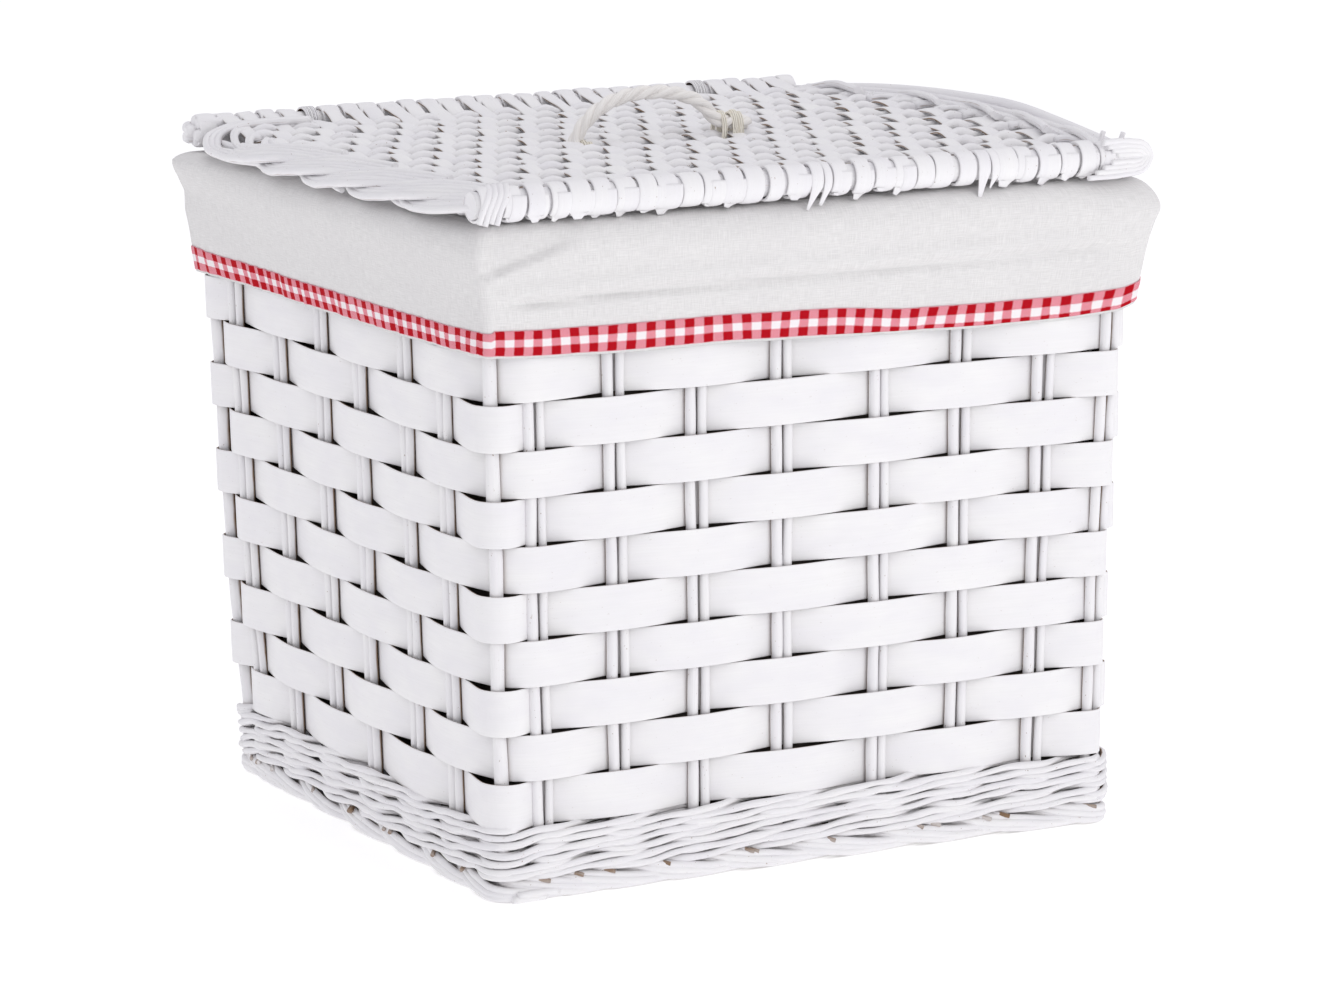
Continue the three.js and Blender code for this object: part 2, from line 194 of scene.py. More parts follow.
class Outline:
    """The line through the stakes, on plan at WEAVE_Z, with corners of one radius.

    Places on it are distances from the left end of the front wall, going round to the right. Lines
    outside it have rounder corners, unless the outline is sharp.
    """

    def __init__(self, corner, splay, sharp):
        self.corner = corner
        self.splay = splay
        self.sharp = sharp
        self.flat = np.array([PLANE_X - corner, PLANE_Y - corner])
        arc = corner * math.pi / 2
        runs = [arc if i % 2 else 2 * self.flat[i // 2 % 2] for i in range(8)]
        self.starts = np.concatenate([[0], np.cumsum(runs)])
        self.length = self.starts[-1]

    def on(self, wall, along):
        """The place on a wall, 0 the front and 1 the right, at a distance from the wall's middle."""
        return self.starts[2 * wall] + self.flat[wall % 2] + along

    def read(self, s):
        """x, y and the outward normal's x, y at each place."""
        s = np.mod(np.asarray(s, float), self.length)
        run = np.clip(np.searchsorted(self.starts, s, side="right") - 1, 0, 7)
        wall = run // 2
        t = s - self.starts[run]
        bend = np.where(run % 2 == 1, t / self.corner, 0)
        flat = self.flat[wall % 2]
        plane = np.array([PLANE_Y, PLANE_X])[wall % 2]
        x = np.where(run % 2 == 1, flat + self.corner * np.sin(bend), t - flat)
        y = -plane + self.corner * (1 - np.cos(bend))
        c, d = np.cos(wall * np.pi / 2), np.sin(wall * np.pi / 2)
        nx, ny = np.sin(bend), -np.cos(bend)
        return x * c - y * d, x * d + y * c, nx * c - ny * d, nx * d + ny * c

    def apart(self, s, corner):
        """Distance of each place from the middle of a corner, 0 the front right one."""
        middle = self.starts[2 * corner + 1] + self.corner * math.pi / 4
        return np.mod(s - middle + self.length / 2, self.length) - self.length / 2

    def place(self, s, z, out):
        """Points at distance s round the basket, at height z and out from the leaning stakes."""
        x, y, nx, ny = self.read(s)
        lean = FLARE * (z - WEAVE_Z)
        if self.sharp:
            lean = lean + out
            out = 0
        x = x * (1 + lean / PLANE_X) + nx * out
        y = y * (1 + lean / PLANE_Y) + ny * out
        for corner, to_x, to_y, sizes in self.splay:
            heights, far = mm(sizes).T
            splay = np.interp(z, heights, far) * hump(self.apart(s, corner), SPLAY_REACH)
            x = x + to_x * splay
            y = y + to_y * splay
        return joined(x, y, z), joined(nx, ny, -FLARE)


WICKER = Outline(10 * MM, WICKER_SPLAY, False)
CLOTH = Outline(3.5 * MM, CLOTH_SPLAY, True)


def crossings():
    """Where on the wicker's outline each pair of stakes and each corner post stands."""
    places = []
    for wall in (0, 2):
        places.append(WICKER.starts[2 * wall] - WICKER.corner * math.pi / 4)
        places += [WICKER.on(wall, x * MM) for x in LONG_WALL]
        places.append(WICKER.starts[2 * wall + 2] - 0.8 * MM)
        places += [WICKER.on(wall + 1, y * MM) for y in SIDE_WALL]
    return np.array(places)


CROSS = crossings()

# ---- Pieces ----


def ring_section(sides):
    """A circle of radius 1, anticlockwise from its innermost point."""
    angle = np.linspace(-math.pi / 2, 1.5 * math.pi, sides, endpoint=False)
    return np.stack([np.cos(angle), np.sin(angle)], 1)


def flat_section(width, thick, edge):
    """A flat strip with softened edges, anticlockwise from the middle of its inner face."""
    h, t = width / 2, thick / 2
    near = [(0, -t), (h - 2.5 * edge, -t), (h - edge, -t), (h - 0.3 * edge, -t + 0.3 * edge)]
    near += [(h, -t + edge), (h, t - edge), (h - 0.3 * edge, t - 0.3 * edge), (h - edge, t)]
    near += [(h - 2.5 * edge, t), (h / 2, t)]
    far = [(-x, y) for x, y in reversed(near[1:])]
    return np.array([*near, (0, t), *far])


# Paint goes by how far a point faces out, from -1 to 1. These take that number's place at the ends of
# rods and under the lid.
PAINTED_END = 0.6
BARE_END = -0.33
LID_UNDERSIDE = 0.25


class Piece:
    """Rods, strips or cloth gathered into one mesh, which stands for one CAD node.

    The seed can be a generator too. Each rod and strip draws its tone when it isn't given one.
    """

    def __init__(self, node, material, seed=0):
        self.node = node
        self.material = material
        self.rng = np.random.default_rng(seed)
        self.points = []
        self.faces = []
        self.flat_faces = []
        self.grain = []
        self.facing = []
        self.count = 0

    def add(self, points, faces, grain, facing):
        self.points.append(points.reshape(-1, 3))
        self.faces.append(faces + self.count)
        self.grain.append(grain.reshape(-1, 3))
        self.facing.append(facing.reshape(-1))
        self.count += points.size // 3

    def sweep(self, path, out, section, scale=1.0, tone=None, bare=0):
        """Carries a section along a path. Its first coordinate runs across, its second outwards.

        The wood of the last steps is bare, as many of them as bare says.
        """
        tangent = unit(np.gradient(path, axis=0))
        across = unit(np.cross(out, tangent))
        outward = np.cross(tangent, across)
        scale = np.broadcast_to(np.asarray(scale, float).reshape(-1, 1), (len(path), 1))
        shape = section[None] * scale[:, :, None]
        points = path[:, None] + shape[..., :1] * across[:, None] + shape[..., 1:] * outward[:, None]
        n, m = points.shape[:2]
        edge = np.roll(section, -1, 0) - np.roll(section, 1, 0)
        facing = np.tile(-edge[:, 0] / np.linalg.norm(edge, axis=1), (n, 1))
        facing[[0, -1]] = PAINTED_END
        facing[n - bare:] = BARE_END
        grain = np.empty((n, m, 3))
        grain[..., 0] = lengths(path)[:, None]
        grain[..., 1] = lengths(section)[None]
        grain[..., 2] = self.rng.uniform() if tone is None else tone
        i = np.arange(n - 1)[:, None] * m
        j = np.arange(m)[None]
        k = (j + 1) % m
        faces = np.stack([i + j, i + k, i + m + k, i + m + j], -1).reshape(-1, 4)
        ends = [list(range(m - 1, -1, -1)), list(range((n - 1) * m, n * m))]
        self.flat_faces += [[v + self.count for v in end] for end in ends]
        self.add(points, faces, grain, facing)

    def rod(self, path, radius, out, sides=9, tone=None, bare=0):
        """A round rod along a path. Its radius is one number or one for each point of the path."""
        radius = np.asarray(radius, float)
        middle = float(np.mean(radius))
        out = np.broadcast_to(np.asarray(out, float), path.shape)
        self.sweep(path, out, ring_section(sides) * middle, radius / middle, tone, bare)

    def tapered(self, path, thick, thin, out):
        """A rod that narrows evenly along its path, from one radius in millimetres to another."""
        self.rod(path, np.linspace(thick, thin, len(path)) * MM, out)

    def wicker_rod(self, s, z, out, radius, sides=9, tone=None, bare=0):
        """A rod at distance s round the basket's wicker, at height z and out from its stakes."""
        path, normal = WICKER.place(s, z, out)
        self.rod(path, radius, normal, sides, tone, bare)

    def cloth(self, points, grain, skip=None):
        """One layer of cloth from rows and columns of points, without the faces skip names."""
        rows, columns = points.shape[:2]
        i = np.arange(rows - 1)[:, None] * columns
        j = np.arange(columns - 1)[None]
        faces = np.stack([i + j, i + j + 1, i + columns + j + 1, i + columns + j], -1).reshape(-1, 4)
        if skip is not None:
            middle = points.reshape(-1, 3)[faces].mean(1)
            faces = faces[~skip(middle)]
        self.add(points, faces, grain, np.ones((rows, columns)))

    def make(self, thickness=0.0):
        mesh = bpy.data.meshes.new(self.node + "_look")
        faces = np.concatenate(self.faces).tolist() + self.flat_faces
        mesh.from_pydata(np.concatenate(self.points).tolist(), [], faces)
        smooth_shaded = np.ones(len(faces), bool)
        smooth_shaded[len(faces) - len(self.flat_faces):] = False
        mesh.polygons.foreach_set("use_smooth", smooth_shaded)
        grain = mesh.attributes.new("grain", "FLOAT_VECTOR", "POINT")
        grain.data.foreach_set("vector", np.concatenate(self.grain).astype(np.float32).ravel())
        painted = np.concatenate(self.facing).astype(np.float32)
        if BODY[self.node] == "lid":
            # The lid's underside shows when it opens, and is painted thinly.
            painted[painted < -0.3] = LID_UNDERSIDE
        facing = mesh.attributes.new("facing", "FLOAT", "POINT")
        facing.data.foreach_set("value", painted)
        mesh.materials.append(self.material)
        look = in_scene(self.node + "_look", mesh)
        if thickness:
            thicken(look, thickness)
        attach(look, BODY[self.node])
        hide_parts(self.node)
        return look


def in_scene(name, data):
    made = bpy.data.objects.new(name, data)
    bpy.context.scene.collection.objects.link(made)
    return made


def thicken(look, thickness):
    """Gives one layer of cloth its thickness."""
    solid = look.modifiers.new("thickness", "SOLIDIFY")
    solid.thickness = thickness
    solid.offset = 0
    graph = bpy.context.evaluated_depsgraph_get()
    mesh = bpy.data.meshes.new_from_object(look.evaluated_get(graph))
    look.modifiers.clear()
    look.data = mesh


# ---- Materials ----


class Shader:
    """A node material under construction."""

    def __init__(self, name):
        self.material = bpy.data.materials.new(name)
        self.material.use_nodes = True
        self.tree = self.material.node_tree
        self.surface = self.tree.nodes["Principled BSDF"]

    def node(self, kind, inputs=None, **settings):
        made = self.tree.nodes.new(kind)
        for key, value in settings.items():
            setattr(made, key, value)
        for key, value in (inputs or {}).items():
            self.set(made.inputs[key], value)
        return made

    def set(self, socket, value):
        if isinstance(value, bpy.types.NodeSocket):
            self.tree.links.new(value, socket)
        elif socket.type == "RGBA":
            socket.default_value = (*value, 1.0)
        else:
            socket.default_value = value

    def attribute(self, name, output):
        return self.node("ShaderNodeAttribute", attribute_name=name).outputs[output]

    def math(self, operation, a, b=0.0, clamp=False):
        made = self.node("ShaderNodeMath", {0: a, 1: b}, operation=operation, use_clamp=clamp)
        return made.outputs[0]

    def times(self, a, b):
        return self.math("MULTIPLY", a, b)

    def plus(self, a, b):
        return self.math("ADD", a, b)

    def scaled(self, vector, scale):
        made = self.node("ShaderNodeVectorMath", {0: vector, 1: scale}, operation="MULTIPLY")
        return made.outputs[0]

    def noise(self, vector, scale, detail=3.0):
        vector = self.scaled(vector, scale)
        inputs = {"Vector": vector, "Scale": 1.0, "Detail": detail, "Roughness": 0.55}
        return self.node("ShaderNodeTexNoise", inputs).outputs["Fac"]

    def spread(self, value, low, high, to_low=0.0, to_high=1.0):
        inputs = {0: value, 1: low, 2: high, 3: to_low, 4: to_high}
        return self.node("ShaderNodeMapRange", inputs, clamp=True).outputs[0]

    def mix(self, share, a, b, blend="MIX"):
        made = self.node("ShaderNodeMix", {0: share, 6: a, 7: b}, data_type="RGBA", blend_type=blend)
        return made.outputs[2]

    def bump(self, height, strength, distance):
        inputs = {"Height": height, "Strength": strength, "Distance": distance}
        return self.node("ShaderNodeBump", inputs).outputs[0]

    def finish(self, color, roughness, normal, specular=0.4, sheen=0.0):
        inputs = self.surface.inputs
        self.set(inputs["Base Color"], color)
        self.set(inputs["Roughness"], roughness)
        self.set(inputs["Normal"], normal)
        self.set(inputs["Specular IOR Level"], specular)
        self.set(inputs["Sheen Weight"], sheen)
        return self.material


def painted_wood(name, white, streak_size, chips, bare_from):
    """White paint over wood. The wood is bare where a rod or strip faces inwards, and darkens towards near
    black as it faces further in, a painted shade for the gaps between rods and strips.
    """
    m = Shader(name)
    grain = m.attribute("grain", "Vector")
    facing = m.attribute("facing", "Fac")
    streak = m.noise(grain, (38.0, 1100.0, 40.0), 4.0)
    fibre = m.noise(grain, (160.0, 4200.0, 90.0), 2.0)
    patch = m.noise(grain, (30.0, 60.0, 31.0), 2.0)
    brushed = m.spread(streak, 0.3, 0.75)
    cool = tuple(c * s for c, s in zip(white, (0.945, 0.94, 0.965)))
    paint = m.mix(m.spread(patch, 0.3, 0.7), cool, white)
    paint = m.mix(m.times(brushed, 0.35), paint, tuple(c * 0.9 for c in white))
    wood = m.mix(m.spread(fibre, 0.25, 0.75), (0.36, 0.235, 0.135), (0.17, 0.1, 0.058))
    # Painted shade: wood that faces further inwards is darkened towards near black, standing in for the
    # unlit gaps between rods and strips.
    painted_gap_shade = m.spread(facing, -0.25, -0.85)
    wood = m.mix(painted_gap_shade, wood, (0.06, 0.036, 0.026))
    ragged = m.plus(facing, m.times(m.math("SUBTRACT", patch, 0.5), 0.7))
    ragged = m.plus(ragged, m.times(m.math("SUBTRACT", fibre, 0.5), 0.3))
    bare = m.spread(ragged, bare_from, bare_from - 0.35)
    spots = m.noise(grain, (500.0, 900.0, 77.0), 2.0)
    chipped = m.times(m.spread(spots, 0.71, 0.76), chips)
    bare = m.math("MAXIMUM", bare, chipped)
    color = m.mix(bare, paint, wood)
    relief = m.plus(streak, m.times(fibre, 0.4))
    normal = m.bump(relief, 0.35, streak_size)
    roughness = m.spread(streak, 0.3, 0.7, 0.42, 0.6)
    roughness = m.math("MAXIMUM", roughness, m.times(bare, 0.85))
    return m.finish(color, roughness, normal)


def linen(name, back):
    """Plain-woven pale grey cotton with slubs and fine threads both ways.

    Its side towards the wicker can be darker, a painted shade for the unlit space behind the wicker: back is
    that side's share of the face's color.
    """
    m = Shader(name)
    place = m.node("ShaderNodeTexCoord")
    level = m.scaled(place.outputs["Object"], (1.0, 1.0, 0.0))
    away = m.node("ShaderNodeVectorMath", {0: place.outputs["Normal"], 1: level}, operation="DOT_PRODUCT")
    towards_wicker = m.spread(away.outputs["Value"], 0.0, 0.02)
    grain = m.attribute("grain", "Vector")
    warp = m.noise(grain, (2300.0, 130.0, 1.0), 2.0)
    weft = m.noise(grain, (130.0, 2300.0, 1.0), 2.0)
    threads = m.times(m.plus(warp, weft), 0.5)
    slub = m.noise(grain, (55.0, 1500.0, 1.0))
    cloud = m.noise(grain, (22.0, 30.0, 1.0))
    color = m.mix(m.spread(threads, 0.36, 0.64), (0.67, 0.66, 0.655), (0.81, 0.8, 0.795))
    color = m.mix(m.times(m.spread(slub, 0.58, 0.74), 0.45), color, (0.86, 0.85, 0.84))
    color = m.mix(m.times(m.spread(cloud, 0.35, 0.7), 0.25), color, (0.7, 0.685, 0.69))
    # Painted shade: the side towards the wicker is multiplied by back.
    shade = m.mix(towards_wicker, (1.0, 1.0, 1.0), back)
    color = m.mix(1.0, color, shade, "MULTIPLY")
    relief = m.plus(threads, m.times(slub, 0.5))
    normal = m.bump(relief, 0.5, 0.5 * MM)
    return m.finish(color, m.spread(cloud, 0.3, 0.7, 0.86, 0.95), normal, specular=0.2, sheen=0.02)


RIBBON = 15 * MM  # the ribbon's width
CHECK = 5.4 * MM  # the length of one check along the ribbon


def gingham():
    """Three rows of checks between thin pink edges. Grain runs along the ribbon and up across it."""
    m = Shader("gingham")
    grain = m.attribute("grain", "Vector")
    axes = m.node("ShaderNodeSeparateXYZ", {0: grain})
    unevenness = m.noise(grain, (700.0, 700.0, 1.0))
    jitter = m.times(m.math("SUBTRACT", unevenness, 0.5), 1.1 * MM)
    along = m.plus(axes.outputs[0], jitter)
    across = m.plus(axes.outputs[1], jitter)
    beat = m.math("PINGPONG", m.math("DIVIDE", along, CHECK), 1.0)
    dark_column = m.spread(beat, 0.46, 0.54)
    upper = m.spread(across, 9.6 * MM, 9.9 * MM)
    lower = m.spread(across, 5.4 * MM, 5.1 * MM)
    edge_row = m.math("ADD", upper, lower, clamp=True)
    above_edge = m.spread(across, 0.15 * MM, 0.4 * MM)
    inside = m.times(above_edge, m.spread(across, 14.85 * MM, 14.6 * MM))
    edge_row = m.times(edge_row, inside)
    lines = m.math("PINGPONG", m.times(m.plus(along, axes.outputs[1]), 1700.0), 1.0)
    pink = m.mix(lines, (0.62, 0.12, 0.17), (0.85, 0.42, 0.47))
    white = m.mix(lines, (0.84, 0.77, 0.79), (0.9, 0.87, 0.88))
    red = m.mix(lines, (0.34, 0.001, 0.006), (0.55, 0.002, 0.012))
    middle = m.mix(dark_column, white, pink)
    border = m.mix(dark_column, pink, red)
    color = m.mix(edge_row, middle, border)
    margin = m.spread(inside, 1.0, 0.0)
    color = m.mix(margin, color, (0.8, 0.3, 0.36))
    threads = m.noise(grain, (2600.0, 2600.0, 1.0), 1.0)
    normal = m.bump(threads, 0.4, 0.3 * MM)
    return m.finish(color, m.spread(threads, 0.3, 0.7, 0.7, 0.88), normal, specular=0.12)


def paper_cord(name, light, dark):
    """Twisted paper with creases along the twist."""
    m = Shader(name)
    grain = m.attribute("grain", "Vector")
    crease = m.noise(grain, (70.0, 1900.0, 30.0), 4.0)
    patch = m.noise(grain, (90.0, 90.0, 30.0), 2.0)
    color = m.mix(m.spread(crease, 0.3, 0.62), dark, light)
    color = m.mix(m.times(m.spread(patch, 0.4, 0.7), 0.3), color, dark)
    normal = m.bump(crease, 0.6, 0.6 * MM)
    return m.finish(color, m.spread(crease, 0.3, 0.7, 0.6, 0.8), normal)


ROD_PAINT = painted_wood("painted_rods", (0.872, 0.863, 0.868), 0.5 * MM, 0.8, -0.1)
STRIP_PAINT = painted_wood("painted_strips", (0.88, 0.872, 0.873), 0.22 * MM, 0.25, 0.2)
LINEN = linen("lining_cotton", (1.0, 1.0, 1.0))
# The bag's side towards the wicker is painted nearly black, a painted shade for the unlit space behind the
# wicker.
BAG_LINEN = linen("bag_cotton", (0.2, 0.175, 0.155))
GINGHAM = gingham()
CORD = paper_cord("paper_cord", (0.91, 0.89, 0.87), (0.8, 0.77, 0.735))
LASHING = paper_cord("paper_lashing", (0.93, 0.9, 0.81), (0.84, 0.78, 0.66))

# ---- Walls ----

PAIR_REACH = 3.95 * MM  # from the stakes' plane to the middle of a strip that passes a pair
POST_REACH = 4.9 * MM


def woven(s, levels):
    """How far out a strip runs at each place, passing every crossing at its own level."""
    at = np.mod(s - CROSS[0], WICKER.length) + CROSS[0]
    edges = np.append(CROSS, CROSS[0] + WICKER.length)
    i = np.clip(np.searchsorted(edges, at, side="right") - 1, 0, CROSSINGS - 1)
    t = (at - edges[i]) / (edges[i + 1] - edges[i])
    ring = np.append(levels, levels[0])
    low, high = np.minimum(ring[i], ring[i + 1]), np.maximum(ring[i], ring[i + 1])
    from_behind = np.where(ring[i] < ring[i + 1], t, 1 - t)
    return low + (high - low) * ease(0, 1, from_behind**0.66)


def strip_row(row):
    """One flat strip woven round the walls. Its ends lie over each other behind the back wall."""
    piece = Piece(f"strip_row_{row:02d}", STRIP_PAINT, 100 + row)
    rng = piece.rng
    levels = []
    for i in range(CROSSINGS):
        reach = POST_REACH if i in POSTS else PAIR_REACH
        behind = (row + i) % 2 == 0
        levels.append(-reach if behind else reach + rng.uniform(0, 0.7) * MM)
    seam = BACK_CROSSING if row % 2 == 0 else BACK_CROSSING + 1
    s = np.arange(CROSS[seam] - 9 * MM, CROSS[seam] + WICKER.length + 9 * MM, 2.5 * MM)
    out = woven(s, np.array(levels))
    out = out - 1.4 * MM * ease(s[-1] - 30 * MM, s[-1] - 18 * MM, s)
    middle = WEAVE_Z + (row - 1) * ROW_PITCH + STRIP_HEIGHT / 2
    z = middle + wobble(rng, s, 310 * MM, 0.35 * MM)
    path, normal = WICKER.place(s, z, out)
    piece.sweep(path, normal, flat_section(STRIP_HEIGHT + 0.1 * MM, STRIP_THICK, 0.4 * MM))
    piece.make()


for row in range(1, ROWS + 1):
    strip_row(row)


def stake(piece, s, radius, low, high):
    z = np.arange(low, high, 8 * MM)
    s = s + wobble(piece.rng, z, 190 * MM, 0.5 * MM)
    out = wobble(piece.rng, z, 150 * MM, 0.2 * MM)
    piece.wicker_rod(s, z, out, radius * (1 + wobble(piece.rng, z, 70 * MM, 0.035)), 12)


def rim_bundle(piece, wall):
    """The ends of a wall's stakes, bent over and wound together along the rim."""
    reach = WICKER.flat[wall % 2] - 4 * MM
    s = np.arange(WICKER.on(wall, -reach), WICKER.on(wall, reach), 3 * MM)
    for strand in range(5):
        angle = 2 * np.pi * (strand / 5 + s / (95 * MM))
        piece.wicker_rod(s, RIM_Z + 5 * MM * np.sin(angle), 3 * MM * np.cos(angle), 2.3 * MM, 8)


def wall_stakes(node, wall, first, count):
    piece = Piece(node, ROD_PAINT, 200 + wall)
    rng = piece.rng
    for i in range(first, first + count):
        apart = rng.uniform(6.0, 7.4) * MM
        stake(piece, CROSS[i] - apart * 0.45, rng.uniform(2.9, 3.3) * MM, STAKE_FOOT_Z, 347 * MM)
        stake(piece, CROSS[i] + apart * 0.55, rng.uniform(2.3, 2.7) * MM, STAKE_FOOT_Z, 346 * MM)
    rim_bundle(piece, wall)
    piece.make()


wall_stakes("front_stakes", 0, 1, 8)
wall_stakes("right_stakes", 1, 10, 6)
wall_stakes("back_stakes", 2, 17, 8)
wall_stakes("left_stakes", 3, 26, 6)

for i, corner in POSTS.items():
    post = Piece(f"corner_post_{corner}", ROD_PAINT, 250 + i)
    stake(post, CROSS[i], 3.9 * MM, 13 * MM, 356 * MM)
    post.make()

# ---- Waling and foot ----


def waling_round(node, middle, seed):
    """Three pairs of thin rods woven together, each in front of two crossings and behind the third."""
    piece = Piece(node, ROD_PAINT, seed)
    rng = piece.rng
    edges = np.concatenate([CROSS - WICKER.length, CROSS, CROSS + WICKER.length, CROSS + 2 * WICKER.length])
    first = CROSSINGS + BACK_CROSSING - 1
    for strand in range(3):
        at, out, rise = [], [], []
        for i in range(first - 2, first + CROSSINGS + 3):
            step = (i - strand) % 3
            if step == 0:
                at += [edges[i] - 7 * MM, edges[i], edges[i] + 7 * MM]
                out += [-4.2 * MM, -4.9 * MM, -4.2 * MM]
                rise += [2.6 * MM, 0, -2.6 * MM]
            else:
                at.append(edges[i])
                out.append(5.2 * MM + rng.uniform(-0.2, 0.3) * MM)
                rise.append((-1.9 if step == 1 else 1.9) * MM + rng.uniform(-0.8, 0.8) * MM)
        order = np.argsort(at)
        knots = np.array(at)[order]
        s = np.arange(edges[first] - 5 * MM, edges[first + CROSSINGS] + 5 * MM, 3 * MM)
        z = middle + glide(s, knots, np.array(rise)[order]) + wobble(rng, s, 230 * MM, 0.35 * MM)
        reach = glide(s, knots, np.array(out)[order])
        for lane in (-1, 1):
            lane_z = z + lane * 1.9 * MM + wobble(rng, s, 75 * MM, 0.75 * MM)
            lane_out = reach + wobble(rng, s, 100 * MM, 0.6 * MM)
            piece.wicker_rod(s, lane_z, lane_out, 1.95 * MM + wobble(rng, s, 60 * MM, 0.36 * MM), 8)
    return piece


walings = ["waling_lower", "waling_middle", "waling_upper", "waling_rim"]
for index, node in enumerate(walings):
    waling = waling_round(node, centre(node)[2], 300 + index)
    if node == "waling_upper":
        # The end of one rod sticks out at the far left corner: along, height, out and radius.
        s, z, out, radius = np.linspace(*mm([(-26, 36, 9.5, 1.8), (12, 38, 3, 2.1)]), 16).T
        waling.wicker_rod(CROSS[FAR_LEFT_POST] + s, z, out, radius, tone=0.7)
    waling.make()

# One stroke of the foot border: distance along, out from the stakes' plane, and height.
FOOT_STROKE = [
    (-6, -3.5, 14.5),
    (6, 0.6, 11.2),
    (22, 3.8, 7.9),
    (40, 4.8, 5.5),
    (56, 4.2, 3.8),
    (76, 1.2, 3.3),
    (96, -1.8, 3.3),
    (120, -4.0, 3.5),
]
# Rods that end at the near corner: first and last distance along, out, height and radius.
CORNER_ENDS = [(4, 22, 5.6, 2.3, 2.2), (6, 30, 6.0, 4.6, 2.0), (13, 34, 3.2, 2.0, 1.7)]


def foot_border():
    """Each pair of stakes is bent down into a stroke that slants under the next ones."""
    piece = Piece("foot_border", ROD_PAINT, 400)
    rng = piece.rng
    along, out, height = mm(FOOT_STROKE).T
    for i in range(CROSSINGS):
        s = np.linspace(along[0], along[-1], 50)
        share = rng.uniform(0.92, 1.08)
        for lane in (-1, 0, 1):
            radius = rng.uniform(2.3, 2.7) * MM
            z = smooth(s, along, height) + lane * 2.6 * MM + wobble(rng, s, 80 * MM, 0.4 * MM)
            z = np.maximum(z, radius * 1.03)
            o = smooth(s, along, out) + rng.uniform(-0.5, 0.3) * MM - abs(lane) * 0.5 * MM
            width = radius * (1 - 0.25 * (s - s[0]) / (s[-1] - s[0]))
            piece.wicker_rod(CROSS[i] + s * share + lane * 3 * MM, z, o, width)
        # The cut, unpainted ends of one or two stakes show in the gap above the stroke.
        for lane in (-1, 1)[:rng.integers(1, 3)]:
            start = CROSS[i] + rng.uniform(14, 26) * MM + lane * 4 * MM
            s = start + np.linspace(0, rng.uniform(7, 14), 6) * MM
            z = rng.uniform(11.0, 12.2) * MM + np.linspace(2.0, -0.8, 6) * MM
            out_to = rng.uniform(5.8, 7.6)
            piece.wicker_rod(s, z, np.linspace(-1, out_to, 6) * MM, np.linspace(1.7, 1.2, 6) * MM, 7, bare=3)
    for strand in range(2):
        s = np.arange(CROSS[BACK_CROSSING], CROSS[BACK_CROSSING] + WICKER.length + 6 * MM, 4 * MM)
        angle = 2 * np.pi * (strand / 2 + s / (110 * MM))
        z = 7.4 * MM + 2.2 * MM * np.sin(angle)
        piece.wicker_rod(s, z, -4.2 * MM + 1.6 * MM * np.cos(angle), 2.2 * MM, 8)
    for start, end, out, height, radius in mm(CORNER_ENDS):
        s = np.linspace(start, end, 9)
        piece.wicker_rod(CROSS[0] + s, height, out - (s - start) * 0.05, radius)
    piece.make()


foot_border()


def base():
    """The floor's thick sticks, with thin rods woven over and under them from front to back."""
    rng = np.random.default_rng(420)
    ys = []
    for i in range(5):
        node = f"base_stick_{i + 1}"
        low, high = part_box(node)
        _, y, middle = centre(node)
        ys.append(y)
        x = np.linspace(low.x, high.x, 40)
        z = middle + wobble(rng, x, 200 * MM, 0.2 * MM)
        path = joined(x, y + wobble(rng, x, 180 * MM, 0.8 * MM), z)
        piece = Piece(node, ROD_PAINT, rng)
        piece.rod(path, 3.4 * MM, (0, 0, -1), 12)
        piece.make()
    low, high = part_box("base_panel")
    panel = Piece("base_panel", ROD_PAINT, rng)
    for j, x in enumerate(np.linspace(low.x + 5 * MM, high.x - 5 * MM, 66)):
        side = 1 if j % 2 else -1
        knots = [low.y, *ys, high.y]
        heights = [0] + [side * (-1) ** i * 5.6 * MM for i in range(5)] + [0]
        y = np.linspace(low.y + 3 * MM, high.y - 3 * MM, 56)
        z = middle + smooth(y, knots, heights)
        path = joined(x + wobble(rng, y, 160 * MM, 0.3 * MM), y, z)
        panel.rod(path, 2.25 * MM, (0, 0, -1), 6)
    panel.make()


base()

# ---- Lining ----

# The flap's cross-section, from inside the basket over the rim to the hem: out from the stakes'
# plane, and height.
FLAP = mm([
    (-12.4, 346), (-12.3, 356), (-10.6, 364), (-6, 369.4), (2, 371.8), (10, 371.4), (16.2, 368.0),
    (19.2, 361), (18.6, 353), (16.8, 346), (14.6, 337), (12.6, 327), (10.4, 313), (8.6, 303), (8.0, 297.5),
])
FLAP_AT = lengths(FLAP)
RIM_AT = FLAP_AT[7]
HEM_AT = FLAP_AT[-1]
# How far the hem hangs above or below its mean height round the basket: place on a wall, drop.
HEM = [
    (0, -190, 4.5), (0, -160, 2.0), (0, -115, 0.8), (0, -45, 0.8), (0, 0, -0.8), (0, 50, -2.8),
    (0, 100, -3.8), (0, 145, -3.4), (0, 174, -0.5), (0, 186, 4.5), (1, -172, 6.0), (1, -150, 3.5),
    (1, -90, 1.0), (1, 0, 2.2), (1, 90, 0.5), (1, 170, 2.5), (2, -120, 1.0), (2, 0, -1.0),
    (2, 120, 1.5), (3, -170, 4.0), (3, -90, 2.6), (3, 0, 3.0), (3, 90, 3.4), (3, 165, 4.4),
]


def near_corner(s):
    """Distance from the nearest corner of the cloth's outline."""
    return np.min([np.abs(CLOTH.apart(s, corner)) for corner in range(4)], axis=0)


